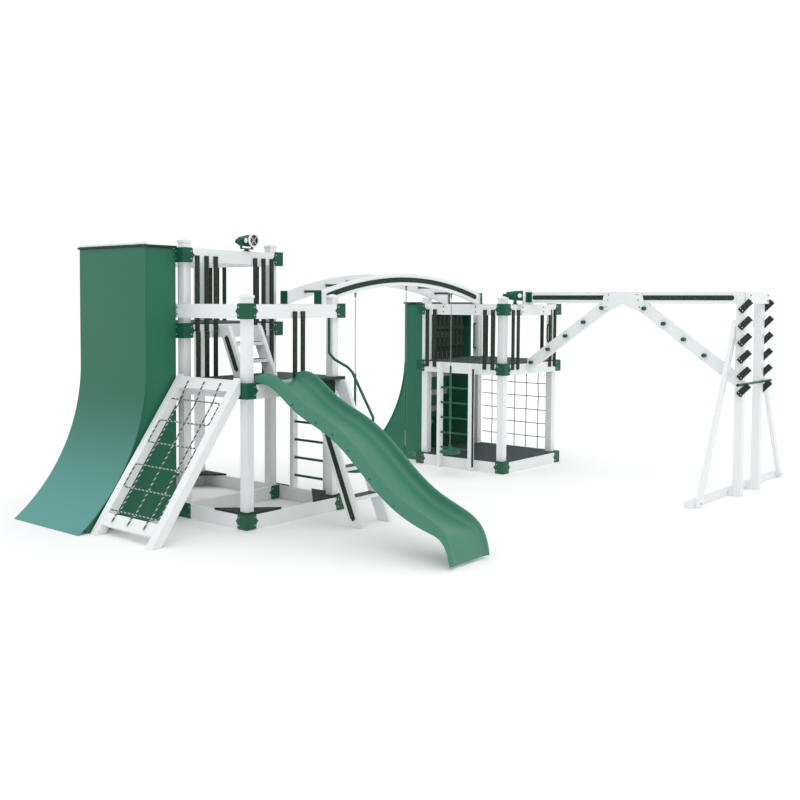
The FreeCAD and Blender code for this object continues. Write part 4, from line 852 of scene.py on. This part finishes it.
# ------------------------------------------------------------- disc swings
# Three swings under the near arch: a galvanised hanger and swivel, welded
# chain, a green plastic hand sleeve over the chain and a round moulded seat.
# Sleeve sizes are in metres.
POLE_WELD = 0.00002
SLEEVE_R = 0.0155
SLEEVE_WALL = 0.0042
SLEEVE_LENGTH = 34.6 * INCH
swing_green = skin_material("swing_green", (0.014, 0.12, 0.068, 1), specular=0.3, mottle=0.07,
                            mottle_scale=10, gloss_loss=0.36, gloss_spread=0.1,
                            grain_scale=600, grain_depth=0.15, dust=0.0)
chain_zinc = zinc_material("chain_zinc", (0.38, 0.38, 0.37, 1), 0.45)
dress(chain_zinc, 0.0008, "swing_hangers")


def turned_piece(bm, outline, centre, axis, radial, steps):
    """Spin an outline of (radius, along) points about an axis into a closed solid."""
    verts = [bm.verts.new(centre + radial * r + axis * a) for r, a in outline]
    edges = [bm.edges.new(pair) for pair in zip(verts, verts[1:])]
    bmesh.ops.spin(bm, geom=verts + edges, cent=centre, axis=axis, dvec=(0, 0, 0),
                   angle=2 * math.pi, steps=steps, use_merge=True, use_duplicate=False)
    bmesh.ops.remove_doubles(bm, verts=bm.verts[:], dist=POLE_WELD)


UP = Vector((0, 0, 1))
EAST = Vector((1, 0, 0))
for n in (1, 2, 3):
    seat_low, seat_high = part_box("swing_%d_seat" % n)
    middle = Vector(((seat_low.x + seat_high.x) / 2, (seat_low.y + seat_high.y) / 2, seat_low.z))
    r = (seat_high.x - seat_low.x) / 2
    disc = [(0, 0), (r * 0.5, 0.001), (r - 0.028, 0.003), (r - 0.01, 0.006), (r - 0.002, 0.012),
            (r, 0.021), (r - 0.001, 0.031), (r - 0.006, 0.04), (r - 0.016, 0.046),
            (r - 0.026, 0.0475), (r - 0.03, 0.0455), (r - 0.036, 0.0455), (r - 0.04, 0.048),
            (0.055, 0.052), (0.038, 0.054), (0.029, 0.062), (0.024, 0.08), (0.0225, 0.104),
            (0.0215, 0.117), (0.017, 0.125), (0.0105, 0.129), (0.0065, 0.1295),
            (0.006, 0.126), (0, 0.125)]
    bm = bmesh.new()
    turned_piece(bm, disc, middle, UP, EAST, 48)
    top = Vector((middle.x, middle.y, seat_high.z))
    inside = SLEEVE_R - SLEEVE_WALL
    sleeve = [(inside, -SLEEVE_LENGTH), (SLEEVE_R - 0.001, -SLEEVE_LENGTH),
              (SLEEVE_R, -SLEEVE_LENGTH + 0.002), (SLEEVE_R, -0.002), (SLEEVE_R - 0.001, 0),
              (inside, 0), (inside, -SLEEVE_LENGTH)]
    turned_piece(bm, sleeve, top, UP, EAST, 28)
    bmesh.ops.recalc_face_normals(bm, faces=bm.faces[:])
    soften(finish_piece(bm, "swing_%d_disc_and_sleeve" % n, swing_green, "swing_%d_drop" % n,
                        ["swing_%d_seat" % n]))
    dress(chain_zinc, 0, "swing_%d_chain" % n, "swing_%d_swivel" % n)

# -------------------------------------------------------------- telescopes
# Toy telescopes moulded in green: a forked stand and a flared barrel, with a
# white hood ring, a dark lens, a black eyepiece and a plain white side disc.
hood_white = skin_material("hood_white", (0.8, 0.81, 0.8, 1), mottle=0.02, gloss_loss=0.3,
                           grain_scale=500, grain_depth=0.05, dust=0.0)
black_rubber = skin_material("black_rubber", (0.012, 0.012, 0.014, 1), mottle=0.1,
                             gloss_loss=0.5, grain_scale=500, grain_depth=0.2, dust=0.0)
lens_dark = skin_material("lens_dark", (0.02, 0.024, 0.028, 1), coat=1.0, mottle=0.02,
                          gloss_loss=0.12, gloss_spread=0.02, grain_scale=5, grain_depth=0.0,
                          dust=0.0)
BARREL_PART = ("bracket_green", "barrel")
TRIM_PART = ("white_trim", "trim")
tilt_joints = {j["name"][10]: j for j in frame["joints"] if j["name"].endswith("_tilt")}
for side_name, joint in sorted(tilt_joints.items()):
    pivot = Vector(joint["pos_m"])
    cross = Vector(joint["axis"]).normalized()
    look = Vector((cross.y, -cross.x, 0))
    body = "telescope_%s_tube" % side_name
    prefix = "telescope_%s_" % side_name
    barrel = [(0, -0.128), (0.03, -0.128), (0.042, -0.125), (0.0505, -0.117), (0.054, -0.106),
              (0.057, -0.07), (0.0595, -0.045), (0.0625, -0.028), (0.066, -0.01),
              (0.0685, 0.025), (0.0655, 0.028), (0.0655, 0.032), (0.069, 0.035),
              (0.07, 0.06), (0.072, 0.108), (0.066, 0.118), (0.06, 0.118), (0.06, 0.06),
              (0.056, -0.008), (0.048, -0.038), (0.032, -0.066), (0, -0.07)]
    hood = [(0.0722, 0.112), (0.078, 0.112), (0.081, 0.115), (0.081, 0.13), (0.079, 0.134),
            (0.066, 0.134), (0.062, 0.1315), (0.062, 0.1185), (0.0722, 0.1185),
            (0.0722, 0.112)]
    lens = [(0, 0.104), (0.0596, 0.104), (0.0596, 0.106), (0.05, 0.1105), (0.03, 0.113),
            (0, 0.114)]
    eyepiece = [(0, -0.1283), (0.022, -0.1283), (0.024, -0.131), (0.024, -0.155),
                (0.028, -0.16), (0.029, -0.168), (0.027, -0.17), (0.019, -0.17),
                (0.017, -0.166), (0, -0.163)]
    for label, outline, material in (("barrel_shell", barrel, bracket_green),
                                     ("hood_ring", hood, hood_white), ("lens", lens, lens_dark),
                                     ("eyepiece", eyepiece, black_rubber)):
        bm = bmesh.new()
        turned_piece(bm, outline, pivot, look, UP, 48)
        bmesh.ops.recalc_face_normals(bm, faces=bm.faces[:])
        slot, node = BARREL_PART if label == "barrel_shell" else TRIM_PART
        soften(finish_piece(bm, prefix + label, material, body, [prefix + node]))
    bm = bmesh.new()
    for end in (-1, 1):
        pin = [(0, 0.062), (0.009, 0.062), (0.009, 0.094), (0.0075, 0.098), (0, 0.098)]
        turned_piece(bm, pin, pivot, cross * end, UP, 24)
    bmesh.ops.recalc_face_normals(bm, faces=bm.faces[:])
    slot, node = BARREL_PART
    soften(finish_piece(bm, prefix + "trunnions", bracket_green, body, [prefix + node]))
    bm = bmesh.new()
    for quarter in (45, 135):
        bar = bmesh.ops.create_cube(bm, size=1.0)["verts"]
        bmesh.ops.scale(bm, vec=(0.122, 0.006, 0.004), verts=bar)
        lean = Matrix((cross, UP, look)).transposed().to_4x4()
        turn = lean @ Matrix.Rotation(math.radians(quarter), 4, "Z")
        bmesh.ops.transform(bm, matrix=Matrix.Translation(pivot + look * 0.121) @ turn, verts=bar)
    slot, node = TRIM_PART
    soften(finish_piece(bm, prefix + "hood_bars", hood_white, body, [prefix + node]))
    bm = bmesh.new()
    badge = [(0, 0.0735), (0.026, 0.0735), (0.0285, 0.073), (0.0285, 0.0655), (0, 0.0655)]
    turned_piece(bm, badge, pivot + look * 0.066, -cross, UP, 40)
    bmesh.ops.recalc_face_normals(bm, faces=bm.faces[:])
    soften(finish_piece(bm, prefix + "side_disc", hood_white, body, [prefix + node]))
    dress(bracket_green, 0.002, prefix + "yoke")

# ---------------------------------------------- peg beam and peg boards
# A long vinyl beam runs from tower B to the end frame. Two sloping boards
# under it carry through-pegs of green tube, and a vinyl plate ties their tops.
dress(vinyl, 0.003, "peg_beam")
dress(vinyl, None, "peg_boards", "beam_mounts")
dress(tube_green, 0.0025, "climbing_pegs")

# -------------------------------------------- pull-bar posts and end frame
# Two vinyl posts with six pairs of sloping hooks hold the loose pull bar, and
# a vinyl A-frame stands behind them. The bar has black plastic end caps.
dress(vinyl, 0.003, "salmon_posts", "a_frame")
dress(dark_board, 0.002, "salmon_hooks")
dress(tube_green, 0, "salmon_bar")
dress(black_rubber, 0.002, "salmon_bar_caps")
